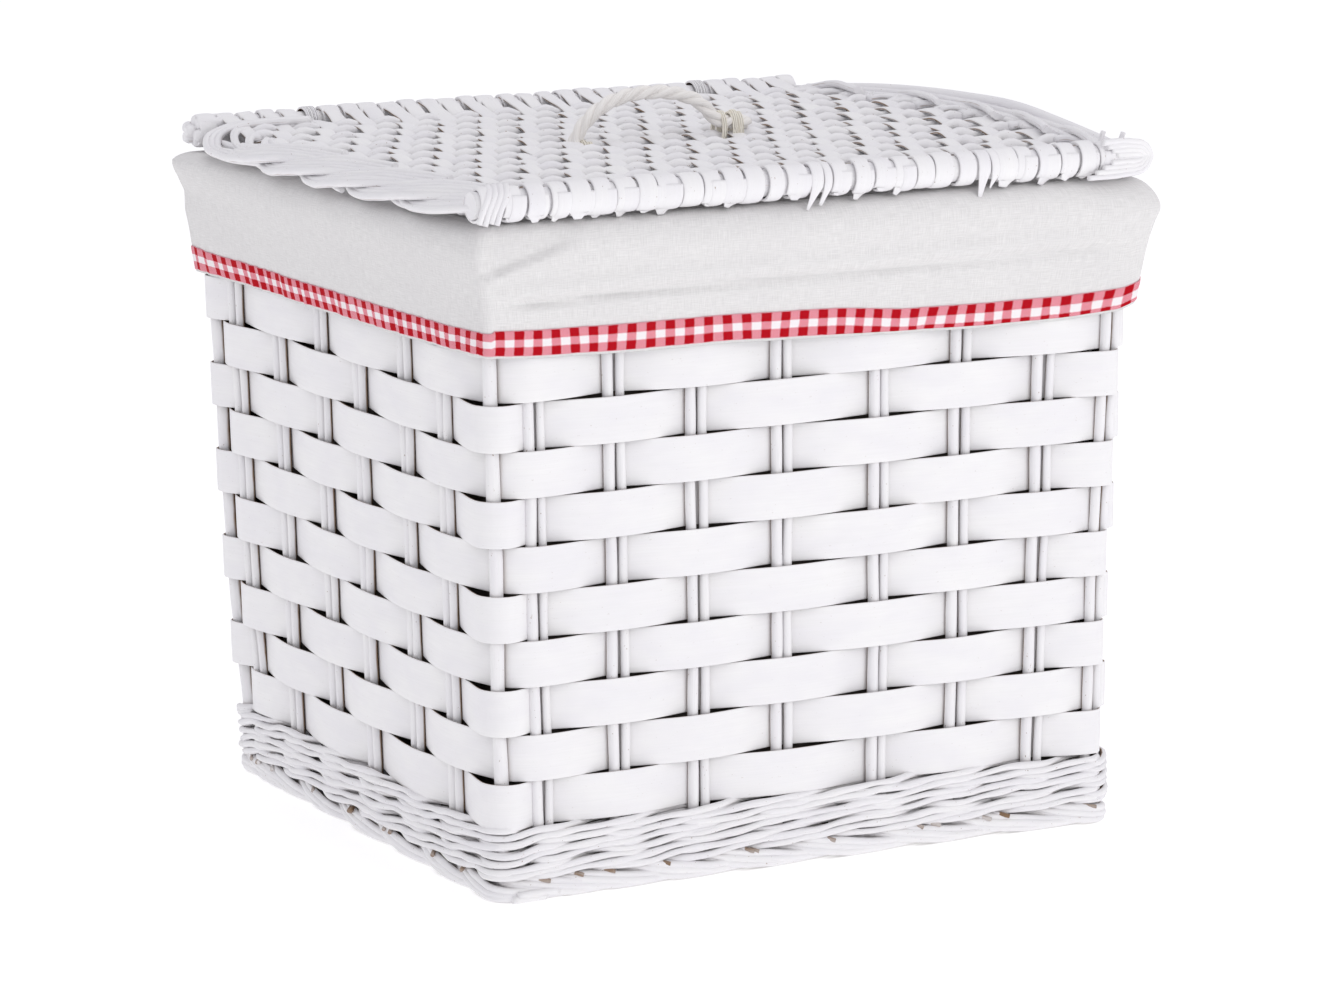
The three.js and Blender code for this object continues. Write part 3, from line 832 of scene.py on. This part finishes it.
def flap_points(s, w):
    """Rows and columns of points on the flap, w along its cross-section and s round the basket."""
    rng = np.random.default_rng(500)
    s, w = np.meshgrid(np.mod(s, CLOTH.length), w)
    shape = smooth(w.ravel(), FLAP_AT, FLAP)
    out = shape[:, 0].reshape(s.shape)
    z = shape[:, 1].reshape(s.shape)
    turn = s / CLOTH.length
    down = np.clip((w - RIM_AT) / (HEM_AT - RIM_AT), 0, 1)
    outside = ease(FLAP_AT[4], RIM_AT, w)
    places = [CLOTH.on(wall, along * MM) for wall, along, _ in HEM]
    drops = [drop * MM for _, _, drop in HEM]
    knots = np.concatenate([places, [places[0] + CLOTH.length]])
    at = np.mod(s - places[0], CLOTH.length) + places[0]
    z = z + down * np.interp(at, knots, [*drops, drops[0]])
    z = z + outside * (1 - down) * ripple(rng, turn, (3, 7), 0.7 * MM)
    out = out + outside * ripple(rng, turn, (5, 9, 14), 0.8 * MM)
    out = out + down * ripple(rng, turn, (23, 37, 58), 0.45 * MM)
    gathers = ripple(rng, turn, (96, 121, 143), 0.4 * MM) * (0.35 + 0.65 * ease(0.7, 0.8, turn))
    out = out + gathers * ease(0.45, 0.95, down)
    corner = near_corner(s)
    out = out - outside * (1 - down) * hump(corner, 13 * MM) * 2.2 * MM
    # A crease runs along the front, and a fold slants down from the rim at the near left corner.
    front = ease(0, 26 * MM, s) * (1 - ease(CLOTH.starts[1] - 40 * MM, CLOTH.starts[1], s))
    crease_z = 329.5 * MM + 4.5 * MM * s / CLOTH.starts[1] + wobble(rng, s, 300 * MM, 0.8 * MM)
    away = (z - crease_z) / MM
    depth = (3.9 - 1.9 * s / CLOTH.starts[1]) * MM
    out = out - front * depth * hump(away, 1.9)
    out = out + front * 0.6 * depth * hump(away - 7, 5)
    near = CLOTH.apart(s, 3)
    tuck_z = 347 * MM + 0.3 * (near - 12 * MM)
    tuck = (1 - ease(34 * MM, 62 * MM, near)) * ease(-6 * MM, 8 * MM, near)
    out = out - tuck * outside * 4.2 * MM * ease(0, 4 * MM, z - tuck_z)
    out = out - 0.8 * MM * hump(corner, 0.9 * MM) * ease(0.12, 0.3, down)
    points, _ = CLOTH.place(s, z, out)
    return points


def grain_of(s, across):
    """Grain for cloth: along, across, and no tone."""
    along, up = np.meshgrid(s, across)
    return joined(along, up, 0)


# The cloth's seam is at the back left corner.
CLOTH_START = CLOTH.starts[5]
CLOTH_COLUMNS = 861


def near_hinge(x, reach):
    return np.abs(np.abs(x) - HINGE_X) < reach


def in_hinge_slot(points):
    return near_hinge(points[:, 0], 5.6 * MM) & (points[:, 1] > 0) & (points[:, 2] > 343.5 * MM)


def lining_flap():
    s = CLOTH_START + np.linspace(0, CLOTH.length, CLOTH_COLUMNS)
    w = np.linspace(0, HEM_AT, 52)
    piece = Piece("lining_flap", LINEN)
    piece.cloth(flap_points(s, w), grain_of(s, w), in_hinge_slot)
    look = piece.make(0.8 * MM)


def gingham_ribbon():
    """The ribbon lies on the flap just above its hem, and its lower edge is turned under on the right."""
    rng = np.random.default_rng(520)
    s = CLOTH_START + np.linspace(0, CLOTH.length, CLOTH_COLUMNS)
    front = np.mod(s, CLOTH.length)
    turned = ease(CLOTH.on(0, 5 * MM), CLOTH.on(0, 60 * MM), front)
    turned = turned * (1 - ease(CLOTH.starts[1], CLOTH.starts[2] + 20 * MM, front))
    low_edge = 3.1 * MM * turned
    squeeze = 1 - 0.1 * ease(CLOTH.starts[6], CLOTH.starts[6] + 30 * MM, front)
    across = np.linspace(0, 1, 13)
    hem = HEM_AT - 0.2 * MM
    reach = 16.8 * MM
    steps = 12
    cloth = flap_points(s, np.linspace(hem - reach, hem, steps + 1))
    rows = []
    for share in across:
        height = 1.2 * MM + (RIBBON - low_edge) * share * squeeze
        index = np.clip((reach - height) / reach * steps, 0, steps)
        below = np.minimum(index.astype(int), steps - 1)
        part = (index - below)[:, None]
        columns = np.arange(len(s))
        rows.append(cloth[below, columns] * (1 - part) + cloth[below + 1, columns] * part)
    points = np.array(rows)
    _, _, nx, ny = CLOTH.read(s)
    normal = joined(nx, ny, 0.05)
    turn = s / CLOTH.length
    pucker = ripple(rng, turn, (83, 131, 167), 0.22 * MM)
    middle = 1 - (2 * across - 1) ** 2
    lift = 0.75 * MM + pucker[None] * 0.6 + middle[:, None] * 0.35 * MM
    crease = turned[None] * hump(across[:, None] - 0.62, 0.07) * 0.35 * MM
    points = points + normal[None] * (lift - crease)[..., None]
    along, up = np.meshgrid(s, across)
    slant = ripple(rng, turn, (9, 17, 31), 0.9 * MM)
    across_grain = low_edge[None] + (RIBBON - low_edge[None]) * up
    grain = joined(along + slant[None] * (up - 0.5), across_grain, 0)
    piece = Piece("gingham_ribbon", GINGHAM)
    piece.cloth(points, grain)
    look = piece.make(0.4 * MM)


def lining_bag():
    """The bag hangs inside the walls, with soft folds, and its bottom lies on the base."""
    rng = np.random.default_rng(540)
    low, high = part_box("lining_bag")
    s = CLOTH_START + np.linspace(0, CLOTH.length, 601)
    turn = s / CLOTH.length
    rows = []
    wall_rows = 56
    bend = low.z + mm([9, 5, 2.4, 1.0])
    heights = np.concatenate([np.linspace(high.z, low.z + 14 * MM, wall_rows), bend])
    corner = near_corner(s)
    folds = ripple(rng, turn, (31, 47, 64), 0.7 * MM)
    sag = ripple(rng, turn, (7, 12, 17), 1.2 * MM)
    for z in heights:
        hang = ease(high.z, high.z - 40 * MM, z) * 0.7 + 0.3
        out = -12.6 * MM - 1.6 * MM * hang + (folds + sag) * hang
        out = out - 5 * MM * hump(corner, 16 * MM) * hang
        out = out - 7 * MM * (1 - ease(low.z, low.z + 16 * MM, z)) + wobble(rng, z, 90 * MM, 0.3 * MM)
        points, _ = CLOTH.place(s, z, out)
        rows.append(points)
    edge = rows[-1]
    middle = np.array([0, 0, low.z + 0.9 * MM])
    for share in np.linspace(0.94, 0.02, 30):
        points = middle + (edge - middle) * share
        lift = wobble(rng, points[:, 0], 150 * MM, 0.7 * MM) * wobble(rng, points[:, 1], 130 * MM, 1.0)
        points[:, 2] = low.z + 1.3 * MM + np.abs(lift) * ease(0, 0.2, share)
        rows.append(points)
    points = np.array(rows)
    grain = np.empty_like(points)
    grain[..., 0] = s[None]
    grain[:wall_rows, :, 1] = heights[:wall_rows, None]
    grain[wall_rows:, :, :2] = points[wall_rows:, :, :2]
    grain[..., 2] = 0
    piece = Piece("lining_bag", BAG_LINEN)
    piece.cloth(points, grain)
    look = piece.make(0.8 * MM)


lining_flap()
gingham_ribbon()
lining_bag()

# ---- Hinge loops ----


def hull(points):
    """The convex outline round points, anticlockwise."""
    points = sorted(points)

    def half(ordered):
        kept = []
        for p in ordered:
            while len(kept) > 1:
                a, b = kept[-2], kept[-1]
                if (b[0] - a[0]) * (p[1] - a[1]) - (b[1] - a[1]) * (p[0] - a[0]) > 0:
                    break
                kept.pop()
            kept.append(p)
        return kept[:-1]

    return half(points) + half(points[::-1])


def circle_points(y, z, radius, count):
    turns = [2 * math.pi * i / count for i in range(count)]
    return [(y + radius * math.cos(a), z + radius * math.sin(a)) for a in turns]


def hinge_loop(node, x, seed):
    """Three turns of flat skein round the lid's back rod and the basket's rim."""
    rim_y = PLANE_Y + FLARE * (RIM_Z - WEAVE_Z)
    room = 0.9 * MM
    points = circle_points(BACK_ROD[1], BACK_ROD[2], ROD_R + room, 28)
    for y, z in ((rim_y - 5.9 * MM, 345 * MM), (rim_y + 5.9 * MM, 345 * MM), (rim_y - 5.9 * MM, 360 * MM)):
        points += circle_points(y, z, room - 0.2 * MM, 10)
    line = np.array(hull(points))
    line = np.concatenate([line, line, line, line[:1]])
    line = curve(line)
    shift = np.linspace(-3.2, 3.2, len(line)) * MM
    path = joined(x + shift, line[:, 0], line[:, 1])
    middle = np.array([x, (rim_y + BACK_ROD[1]) / 2, (353 * MM + BACK_ROD[2]) / 2])
    tangent = unit(np.gradient(path, axis=0))
    out = np.cross(tangent, np.array([1.0, 0, 0]))
    out = out * np.sign(np.sum(out * (path - middle), axis=1, keepdims=True))
    piece = Piece(node, ROD_PAINT, seed)
    piece.sweep(path, out, flat_section(3.1 * MM, 1.5 * MM, 0.35 * MM))
    piece.make()


hinge_loop("hinge_loop_left", -HINGE_X, 600)
hinge_loop("hinge_loop_right", HINGE_X, 601)

# ---- Lid ----


def bow(y):
    """1 halfway along the lid's sides and 0 at its rods."""
    return np.clip(1 - (y / BACK_ROD[1]) ** 2, 0, 1)


def lid_z(x, y):
    """Height of the lid's mid-surface. Its right edge is bowed up."""
    t = (y - FRONT_ROD[1]) / (BACK_ROD[1] - FRONT_ROD[1])
    across = np.clip((x - RISE_FROM) / (SIDE_X + SIDE_BULGE - RISE_FROM), 0, None)
    return FRONT_ROD[2] + t * (BACK_ROD[2] - FRONT_ROD[2]) + RISE * across**2 * bow(y)


def side_x(y):
    return SIDE_X + SIDE_BULGE * bow(y)


def lid_sticks():
    rng = np.random.default_rng(700)
    for i, y in enumerate(STICK_YS):
        reach = side_x(y) - 11 * MM
        x = np.linspace(-reach, reach, 120)
        weave = -2.1 * MM * np.cos(np.pi * (x / SKEIN_PITCH + i))
        z = lid_z(x, y) + wobble(rng, x, 150 * MM, 0.25 * MM) + weave
        path = joined(x, y + wobble(rng, x, 220 * MM, 0.9 * MM), z)
        piece = Piece(f"lid_stick_{i + 1:02d}", ROD_PAINT, rng)
        piece.rod(path, 3.0 * MM + wobble(rng, x, 120 * MM, 0.14 * MM), (0, 0, 1), 12)
        piece.make()


SKEINS = 29
SKEIN_PITCH = 13 * MM
skein_rng = np.random.default_rng(720)
SKEIN_X = [(j - (SKEINS - 1) / 2) * SKEIN_PITCH + skein_rng.uniform(-0.9, 0.9) * MM for j in range(SKEINS)]
SKEIN_WIDE = [skein_rng.uniform(8.6, 10.8) * MM for _ in range(SKEINS)]
LOOP_REACH = 8 * MM  # a skein this near a hinge loop's middle stops short of the back rod


def domed(width, thick, dome):
    """A flat strip whose outer face is slightly domed, like split wicker's."""
    section = flat_section(width, thick, 0.45 * MM)
    section[:, 1] += dome * (1 - (2 * section[:, 0] / width) ** 2) * (section[:, 1] > 0)
    return section


def lid_weave():
    """Flat skeins woven over and under the sticks, and on over the top of both wrapped rods."""
    piece = Piece("lid_weave", STRIP_PAINT, 730)
    rng = piece.rng
    front_top = FRONT_ROD[2] + ROD_R
    back_top = BACK_ROD[2] + ROD_R
    for j, x in enumerate(SKEIN_X):
        knots = [(x, FRONT_ROD[1] - 2 * MM, front_top - 0.6 * MM)]
        knots.append((x, FRONT_ROD[1] + 6 * MM, front_top - 1.8 * MM))
        for i, y in enumerate(STICK_YS):
            rise = rng.uniform(1.4, 2.7) * MM if (i + j) % 2 == 0 else -2.1 * MM
            knot_x = x * (1 + 0.022 * bow(y)) + rng.uniform(-1.3, 1.3) * MM
            knots.append((knot_x, y, lid_z(x, y) + rise))
        if near_hinge(x, LOOP_REACH):
            knots.append((x, BACK_ROD[1] - 13 * MM, BACK_ROD[2] + 2 * MM))
        else:
            knots.append((x, BACK_ROD[1] - 6 * MM, back_top - 1.8 * MM))
            knots.append((x, BACK_ROD[1] + 2 * MM, back_top - 0.6 * MM))
        path = curve(knots, 2.2 * MM)
        out = joined(wobble(rng, path[:, 1], 60 * MM, 0.13), 0, 1)
        piece.sweep(path, out, domed(SKEIN_WIDE[j], 1.5 * MM, 0.5 * MM))
    piece.make()


def wrap(piece, axis, x, width, start, end, tip=0.0, slant=5.0):
    """A skein wound round a lid rod, with angles from the back over the top, and a cut end hanging."""
    rng = piece.rng
    angle = np.radians(np.arange(start, end, 9.0))
    radius = 8.0 * MM + rng.uniform(0, 1.3) * MM
    slide = rng.uniform(-slant, 0.1 * slant) * MM
    share = (angle - angle[0]) / (2 * np.pi)
    y = axis[1] + radius * np.cos(angle)
    z = axis[2] + radius * np.sin(angle)
    path = joined(x + slide * share, y, z)
    out = joined(0, np.cos(angle), np.sin(angle))
    scale = np.ones(len(path))
    if tip:
        steps = np.linspace(0, 1, 7)[1:]
        tangent = unit(path[-1] - path[-2])
        down = np.array([rng.uniform(-0.6, 0.1), 0.1, -0.9])
        drop = steps[:, None] * tangent * 0.35 + (steps**1.6)[:, None] * down * 0.8
        path = np.concatenate([path, path[-1] + drop * tip])
        out = np.concatenate([out, np.broadcast_to(out[-1], drop.shape)])
        scale = np.concatenate([scale, 1 - rng.uniform(0.5, 0.8) * steps])
    piece.sweep(path, out, domed(width, 1.4 * MM, 0.45 * MM), scale)


LONG_TIPS = (14, 22)  # the front skeins whose ends are split and hang furthest


def wrapped_rod(node, axis, left, right, seed, hinged):
    """A lid rod wrapped with the ends of the lid's skeins. Some hang below the front one."""
    piece = Piece(node, ROD_PAINT, seed)
    rng = piece.rng
    core = joined(np.linspace(left, right, 90), axis[1], axis[2])
    piece.rod(core, 7.3 * MM, (0, 0, 1), 16, 0.4)
    places = list(zip(SKEIN_X, SKEIN_WIDE)) + [(-195.5 * MM, 10 * MM), (right - 5 * MM, 10 * MM)]
    if not hinged:
        places.append((193.5 * MM, 11 * MM))
    for index, (x, width) in enumerate(places):
        if hinged and near_hinge(x, LOOP_REACH):
            continue
        wide = width * rng.uniform(0.98, 1.16)
        if hinged:
            slant = 0.8 if near_hinge(x, 20 * MM) else 6
            wrap(piece, axis, x, wide, 30, rng.uniform(330, 420), slant=slant)
        elif index in LONG_TIPS:
            wrap(piece, axis, x - 1.5 * MM, wide * 0.75, 35, 205, rng.uniform(11, 14) * MM)
            wrap(piece, axis, x + 4 * MM, wide * 0.5, 35, 215, rng.uniform(7, 10) * MM)
        elif rng.uniform() < 0.45:
            wrap(piece, axis, x, wide, 30, rng.uniform(330, 420))
        else:
            wrap(piece, axis, x, wide, 35, rng.uniform(225, 262), rng.uniform(2, 5) * MM)
            wrap(piece, axis, x + 2 * MM, wide * 0.9, 150, 400)
    return piece


def front_rod():
    """Rods from the right border turn round this rod's right end and are cut off under it."""
    low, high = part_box("lid_front_rod")
    piece = wrapped_rod("lid_front_rod", FRONT_ROD, low.x, high.x - 4 * MM, 741, False)
    y, z = FRONT_ROD[1], FRONT_ROD[2]
    for strand in range(4):
        half = 2.0 + 2.4 * strand
        turn = [
            (186 - 3 * strand, -8.6, half),
            (194, -9.6, half),
            (200 + half * 0.5, -9.0, half * 0.72),
            (202 + half * 0.75, -8.0, 0),
            (200 + half * 0.5, -9.0, -half * 0.72),
            (191, -9.8, -half),
            (182 - 5 * strand, -10.2, -half * 1.06),
        ]
        piece.tapered(curve(mm(turn) + (0, y, z), 2 * MM), 1.9, 1.5, (1, -0.5, 0))
    for x, reach in ((184, 5), (197, 3.5)):
        stub = curve(mm([(x, 6, 6), (x + 1.5, 4, 9 + reach)]) + (0, y, z), 1.5 * MM)
        piece.rod(stub, 1.5 * MM, (0, -1, 0), 8)
    for strand in range(4):
        x = low.x + (3 + 3.4 * strand) * MM
        turn = [(8, 2, 9.2), (4, -7.5, 5), (0, -9.3, -2), (-2, -8.4, -9 - strand % 2)]
        piece.tapered(curve(mm(turn) + (x, y, z), 2 * MM), 2.2, 1.6, (0, -1, 0.1))
    piece.make()


def back_rod():
    """A cluster of cut ends shows round this rod's left end."""
    low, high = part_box("lid_back_rod")
    piece = wrapped_rod("lid_back_rod", BACK_ROD, low.x + 4 * MM, high.x, 760, True)
    rng = piece.rng
    for stub in range(7):
        angle = 2 * math.pi * stub / 6 + 0.3
        reach = (6.2 if stub < 6 else 0) * MM
        x = np.linspace(low.x - (rng.uniform(-3, 2) if stub < 6 else 2.5) * MM, low.x + 22 * MM, 12)
        y = BACK_ROD[1] + reach * math.cos(angle) + wobble(rng, x, 30 * MM, 0.5 * MM)
        z = BACK_ROD[2] + reach * math.sin(angle) + wobble(rng, x, 30 * MM, 0.5 * MM)
        out = (0, math.cos(angle), math.sin(angle))
        width = rng.uniform(3.2, 3.9) * MM * np.minimum(1, 0.72 + (x - x[0]) / (7 * MM))
        piece.rod(joined(x, y, z), width, out)
    piece.make()


# A band of the side border, from its end hidden under the band behind it, forward: distance run, out
# from the border's middle line, and up from the lid.
BAND = [
    (0, -7.0, -0.5), (14, -4.5, -2.5), (30, 0.0, -4.6), (48, 3.4, -4.6), (70, 4.8, -2.8), (95, 3.4, 0.2),
    (122, -1.0, 3.0), (148, -7.0, 3.6), (168, -12.0, 3.0),
]
BAND_STARTS = (262, 168, 102, 38, -26, -90)
SIDE_BACK = 186 * MM
# A stick's end, as it turns forward under the bands: distance run, in from the middle line, and up.
TURN = [(0, -17, 1.2), (3, -12.5, 1.8), (11, -7.5, 1.6), (25, -3.0, -1.0), (44, -0.6, -3.6), (62, 0.4, -6.4)]


def along_side(side, y0, steps, shape, shift_out=0.0, shift_up=0.0):
    """A line that runs forward along a side of the lid from y0."""
    run, out, up = mm(shape).T
    a = np.linspace(0, run[-1], steps)
    y = y0 - a
    keep = (y > FRONT_ROD[1] + 1 * MM) & (y < BACK_ROD[1] - 9 * MM)
    a, y = a[keep], y[keep]
    x = side_x(y) + smooth(a, run, out) + shift_out
    return joined(side * x, y, lid_z(side * x, y) + smooth(a, run, up) + shift_up)


def side_border(node, side, seed):
    """Bands of thin rods laid along the side, each rising over the next, with the sticks' ends under."""
    piece = Piece(node, ROD_PAINT, seed)
    rng = piece.rng
    for y0 in STICK_YS:
        for strand in range(2):
            shift = (strand - 0.5) * 3.6 * MM
            path = along_side(side, y0 + shift, 36, TURN, 0, rng.uniform(-0.5, 0.5) * MM)
            if len(path) > 8:
                piece.rod(path, rng.uniform(1.9, 2.2) * MM * np.linspace(1, 0.8, len(path)), (0, 0, 1))
    for y0 in BAND_STARTS[side < 0:]:
        for lane in range(5):
            spread = lane - 2
            path = along_side(side, y0 * MM, 60, BAND, -2.3 * MM * spread, 1.5 * MM * spread)
            path[:, 2] += wobble(rng, path[:, 1], 90 * MM, 0.35 * MM)
            if side < 0 and y0 == BAND_STARTS[1]:
                path = path[path[:, 1] < 127 * MM]
            piece.rod(path, rng.uniform(2.0, 2.4) * MM, (side * 0.6, 0, 1))
    for out, up in ((-0.6, -4.6), (-4.6, -5.6)):
        edge = [(a, out + rng.uniform(-1, 1), up + rng.uniform(-0.8, 0.8)) for a in range(0, 400, 45)]
        piece.rod(along_side(side, SIDE_BACK, 130, edge), 2.2 * MM, (side * 0.6, 0, 1))
    if side < 0:
        far_corner_loop(piece)
        tips = [(86, 12, -8.6), (80, 8, -7.6), (-30, 10, -8.8), (-56, 9, -9.2), (-108, 16, -9)]
    else:
        top_rod(piece)
        for out, up in ((-1.5, 3.6), (-5, 1.8), (-8.2, -0.6), (1.8, -0.4)):
            line = [(0, out - 2, up - 2), (60, out, up - 0.8), (170, out, up + 0.6)]
            line += [(300, out, up), (380, out - 2, up - 1)]
            piece.rod(along_side(side, SIDE_BACK, 110, line), 2.2 * MM, (0, 0, 1))
        tips = [(60, 14, -9), (-30, 12, -9)]
    for y0, reach, drop in tips:
        y = np.array([y0 + 20, y0 + 8, y0, y0 - reach]) * MM
        out = mm([-1, 1.6, 2.8, 3.6])
        up = np.array([0.45, 0.75, 0.9, 1.0]) * drop * MM
        x = side * (side_x(y) + out)
        piece.tapered(curve(joined(x, y, lid_z(x, y) + up), 2 * MM), 2.1, 1.5, (side, 0, 0.2))
    piece.make()


def far_corner_loop(piece):
    """Rods from in front of the back rod turn forward round the lid's left corner."""
    for strand in range(3):
        wide = strand * 3.4
        turn = [
            (-140, 170 - wide * 0.3, 5.5),
            (-168, 173 - wide * 0.4, 5.5),
            (-190 + wide * 0.4, 175 - wide * 0.6, 3.5),
            (-204 + wide * 0.7, 170 - wide * 0.8, -0.5),
            (-210 + wide * 0.8, 158 - wide * 0.5, -5.0),
            (-212 + wide * 0.8, 130, -7.6 + wide * 0.3),
            (-210 + wide * 0.8, 92, -7.0 + wide * 0.3),
            (-204 + wide * 0.6, 52 + 10 * strand, -5.0),
        ]
        piece.tapered(curve(mm(turn) + (0, 0, BACK_ROD[2])), 2.3, 2.0, (-0.5, 0, 1))


def top_rod(piece):
    """One smooth thick rod lies along the top of the raised side."""
    y = np.linspace(178, -190, 60) * MM
    x = side_x(y) + 1.5 * MM
    up = smooth(-y, mm([-178, -120, 0, 60, 120, 190]), mm([1.5, 3.8, 6.4, 7.4, 5.0, 2.5]))
    piece.rod(joined(x, y, lid_z(x, y) + up), 3.1 * MM, (0.3, 0, 1), 12)


lid_sticks()
lid_weave()
front_rod()
back_rod()
side_border("lid_left_border", -1, 780)
side_border("lid_right_border", 1, 790)

# ---- Handle ----

HANDLE_FOOT_Z = float(lid_z(HANDLE_RIGHT_X, 0)) + 9.0 * MM
# The cord's middle line: along, and up from its right foot.
HANDLE = [
    (63, -1), (53, 0), (45, 0.6), (39.5, 4.5), (32, 12), (17, 18.2), (-1, 20), (-19, 18),
    (-34, 11.4), (-43.5, 2.5), (-48.5, -6), (-50, -12),
]


def handle():
    """Three strands of paper cord twisted together."""
    piece = Piece("handle", CORD, 800)
    rng = piece.rng
    line = curve(mm([(x, 0, z) for x, z in HANDLE]) + (0, 0, HANDLE_FOOT_Z), 1.5 * MM)
    line[:, 1] += wobble(rng, line[:, 0], 120 * MM, 0.8 * MM)
    tangent = unit(np.gradient(line, axis=0))
    side = unit(np.cross(tangent, np.array([0.0, 1, 0])))
    depth = np.cross(side, tangent)
    reach = lengths(line)
    for strand in range(3):
        angle = (2 * np.pi * (strand / 3 + reach / (34 * MM)))[:, None]
        out = side * np.cos(angle) + depth * np.sin(angle)
        radius = 2.25 * MM + wobble(rng, reach, 40 * MM, 0.08 * MM)
        piece.rod(line + out * 2.0 * MM, radius, out, 12)
    piece.make()


def handle_lashing(node, seed, strands, left, right, low, high):
    """Flat strands wound round the cord's foot and the weave below it."""
    piece = Piece(node, LASHING, seed)
    rng = piece.rng
    left, right = mm([left, right])
    low, high = HANDLE_FOOT_Z + mm([low, high])
    for strand in range(strands):
        x = left + (right - left) * (strand + 0.5) / strands
        angle = np.radians(np.arange(-100, 290, 8.0))
        lean = rng.uniform(-2.5, 2.5) * MM
        y = rng.uniform(5.6, 6.3) * MM * np.cos(angle)
        z = (high + low) / 2 + (high - low) / 2 * np.sin(angle) + rng.uniform(-0.8, 0.8) * MM
        path = joined(x + lean * np.sin(angle / 2), y, z)
        out = joined(0, np.cos(angle), np.sin(angle) * 0.7)
        piece.sweep(path, out, flat_section(rng.uniform(2.9, 3.5) * MM, 1.2 * MM, 0.35 * MM))
    piece.make()


handle()
handle_lashing("handle_lashing_right", 820, 5, 42, 59, -13, 5.6)
handle_lashing("handle_lashing_left", 830, 3, -49, -40, -16, -5)

# ---- Camera, floor and light ----

CAMERA_AZIMUTH = math.radians(-26.79)
CAMERA_ELEVATION = math.radians(10.72)
CAMERA_ROLL = math.radians(-0.72)
CAMERA_DISTANCE = 3.046
CAMERA_SIDE = 5.8 * MM
CAMERA_TARGET_Z = 176.1 * MM
LENS = 141.8


def camera():
    a, e, r = CAMERA_AZIMUTH, CAMERA_ELEVATION, CAMERA_ROLL
    back = Vector((math.sin(a) * math.cos(e), -math.cos(a) * math.cos(e), math.sin(e)))
    level = Vector((math.cos(a), math.sin(a), 0))
    upright = back.cross(level)
    right = level * math.cos(r) + upright * math.sin(r)
    up = upright * math.cos(r) - level * math.sin(r)
    data = bpy.data.cameras.new("camera")
    data.lens = LENS
    data.clip_end = 60
    made = in_scene("camera", data)
    turn = Matrix((right, up, back)).transposed()
    place = back * CAMERA_DISTANCE + level * CAMERA_SIDE + Vector((0, 0, CAMERA_TARGET_Z))
    made.matrix_world = Matrix.Translation(place) @ turn.to_4x4()
    bpy.context.scene.camera = made


def area_light(name, place, target, size, power, color):
    data = bpy.data.lights.new(name, "AREA")
    data.shape = "DISK"
    data.size = size
    data.energy = power
    data.color = color
    made = in_scene(name, data)
    made.location = place
    made.rotation_euler = (Vector(target) - Vector(place)).to_track_quat("-Z", "Y").to_euler()


def floor():
    mesh = bpy.data.meshes.new("floor")
    far = 30.0
    mesh.from_pydata([(-far, -far, 0), (far, -far, 0), (far, far, 0), (-far, far, 0)], [], [(0, 1, 2, 3)])
    m = Shader("floor")
    inputs = m.surface.inputs
    m.set(inputs["Base Color"], (0.9, 0.9, 0.9))
    m.set(inputs["Roughness"], 0.9)
    m.set(inputs["Emission Color"], (1, 1, 1))
    m.set(inputs["Emission Strength"], 0.36)
    mesh.materials.append(m.material)
    in_scene("floor", mesh)


def light():
    world = bpy.data.worlds.new("studio")
    world.use_nodes = True
    sky = world.node_tree.nodes["Background"].inputs
    sky["Color"].default_value = (0.97, 0.965, 1.0, 1)
    sky["Strength"].default_value = 0.77
    bpy.context.scene.world = world
    area_light("key", (0.9, -2.4, 1.0), (0, 0, 0.2), 1.6, 11, (1.0, 0.995, 0.98))
    area_light("top", (0, 0.2, 2.6), (0, 0, 0.4), 1.8, 6.1, (0.98, 0.975, 1.0))


camera()
floor()
light()
bpy.context.scene.view_settings.view_transform = "Standard"
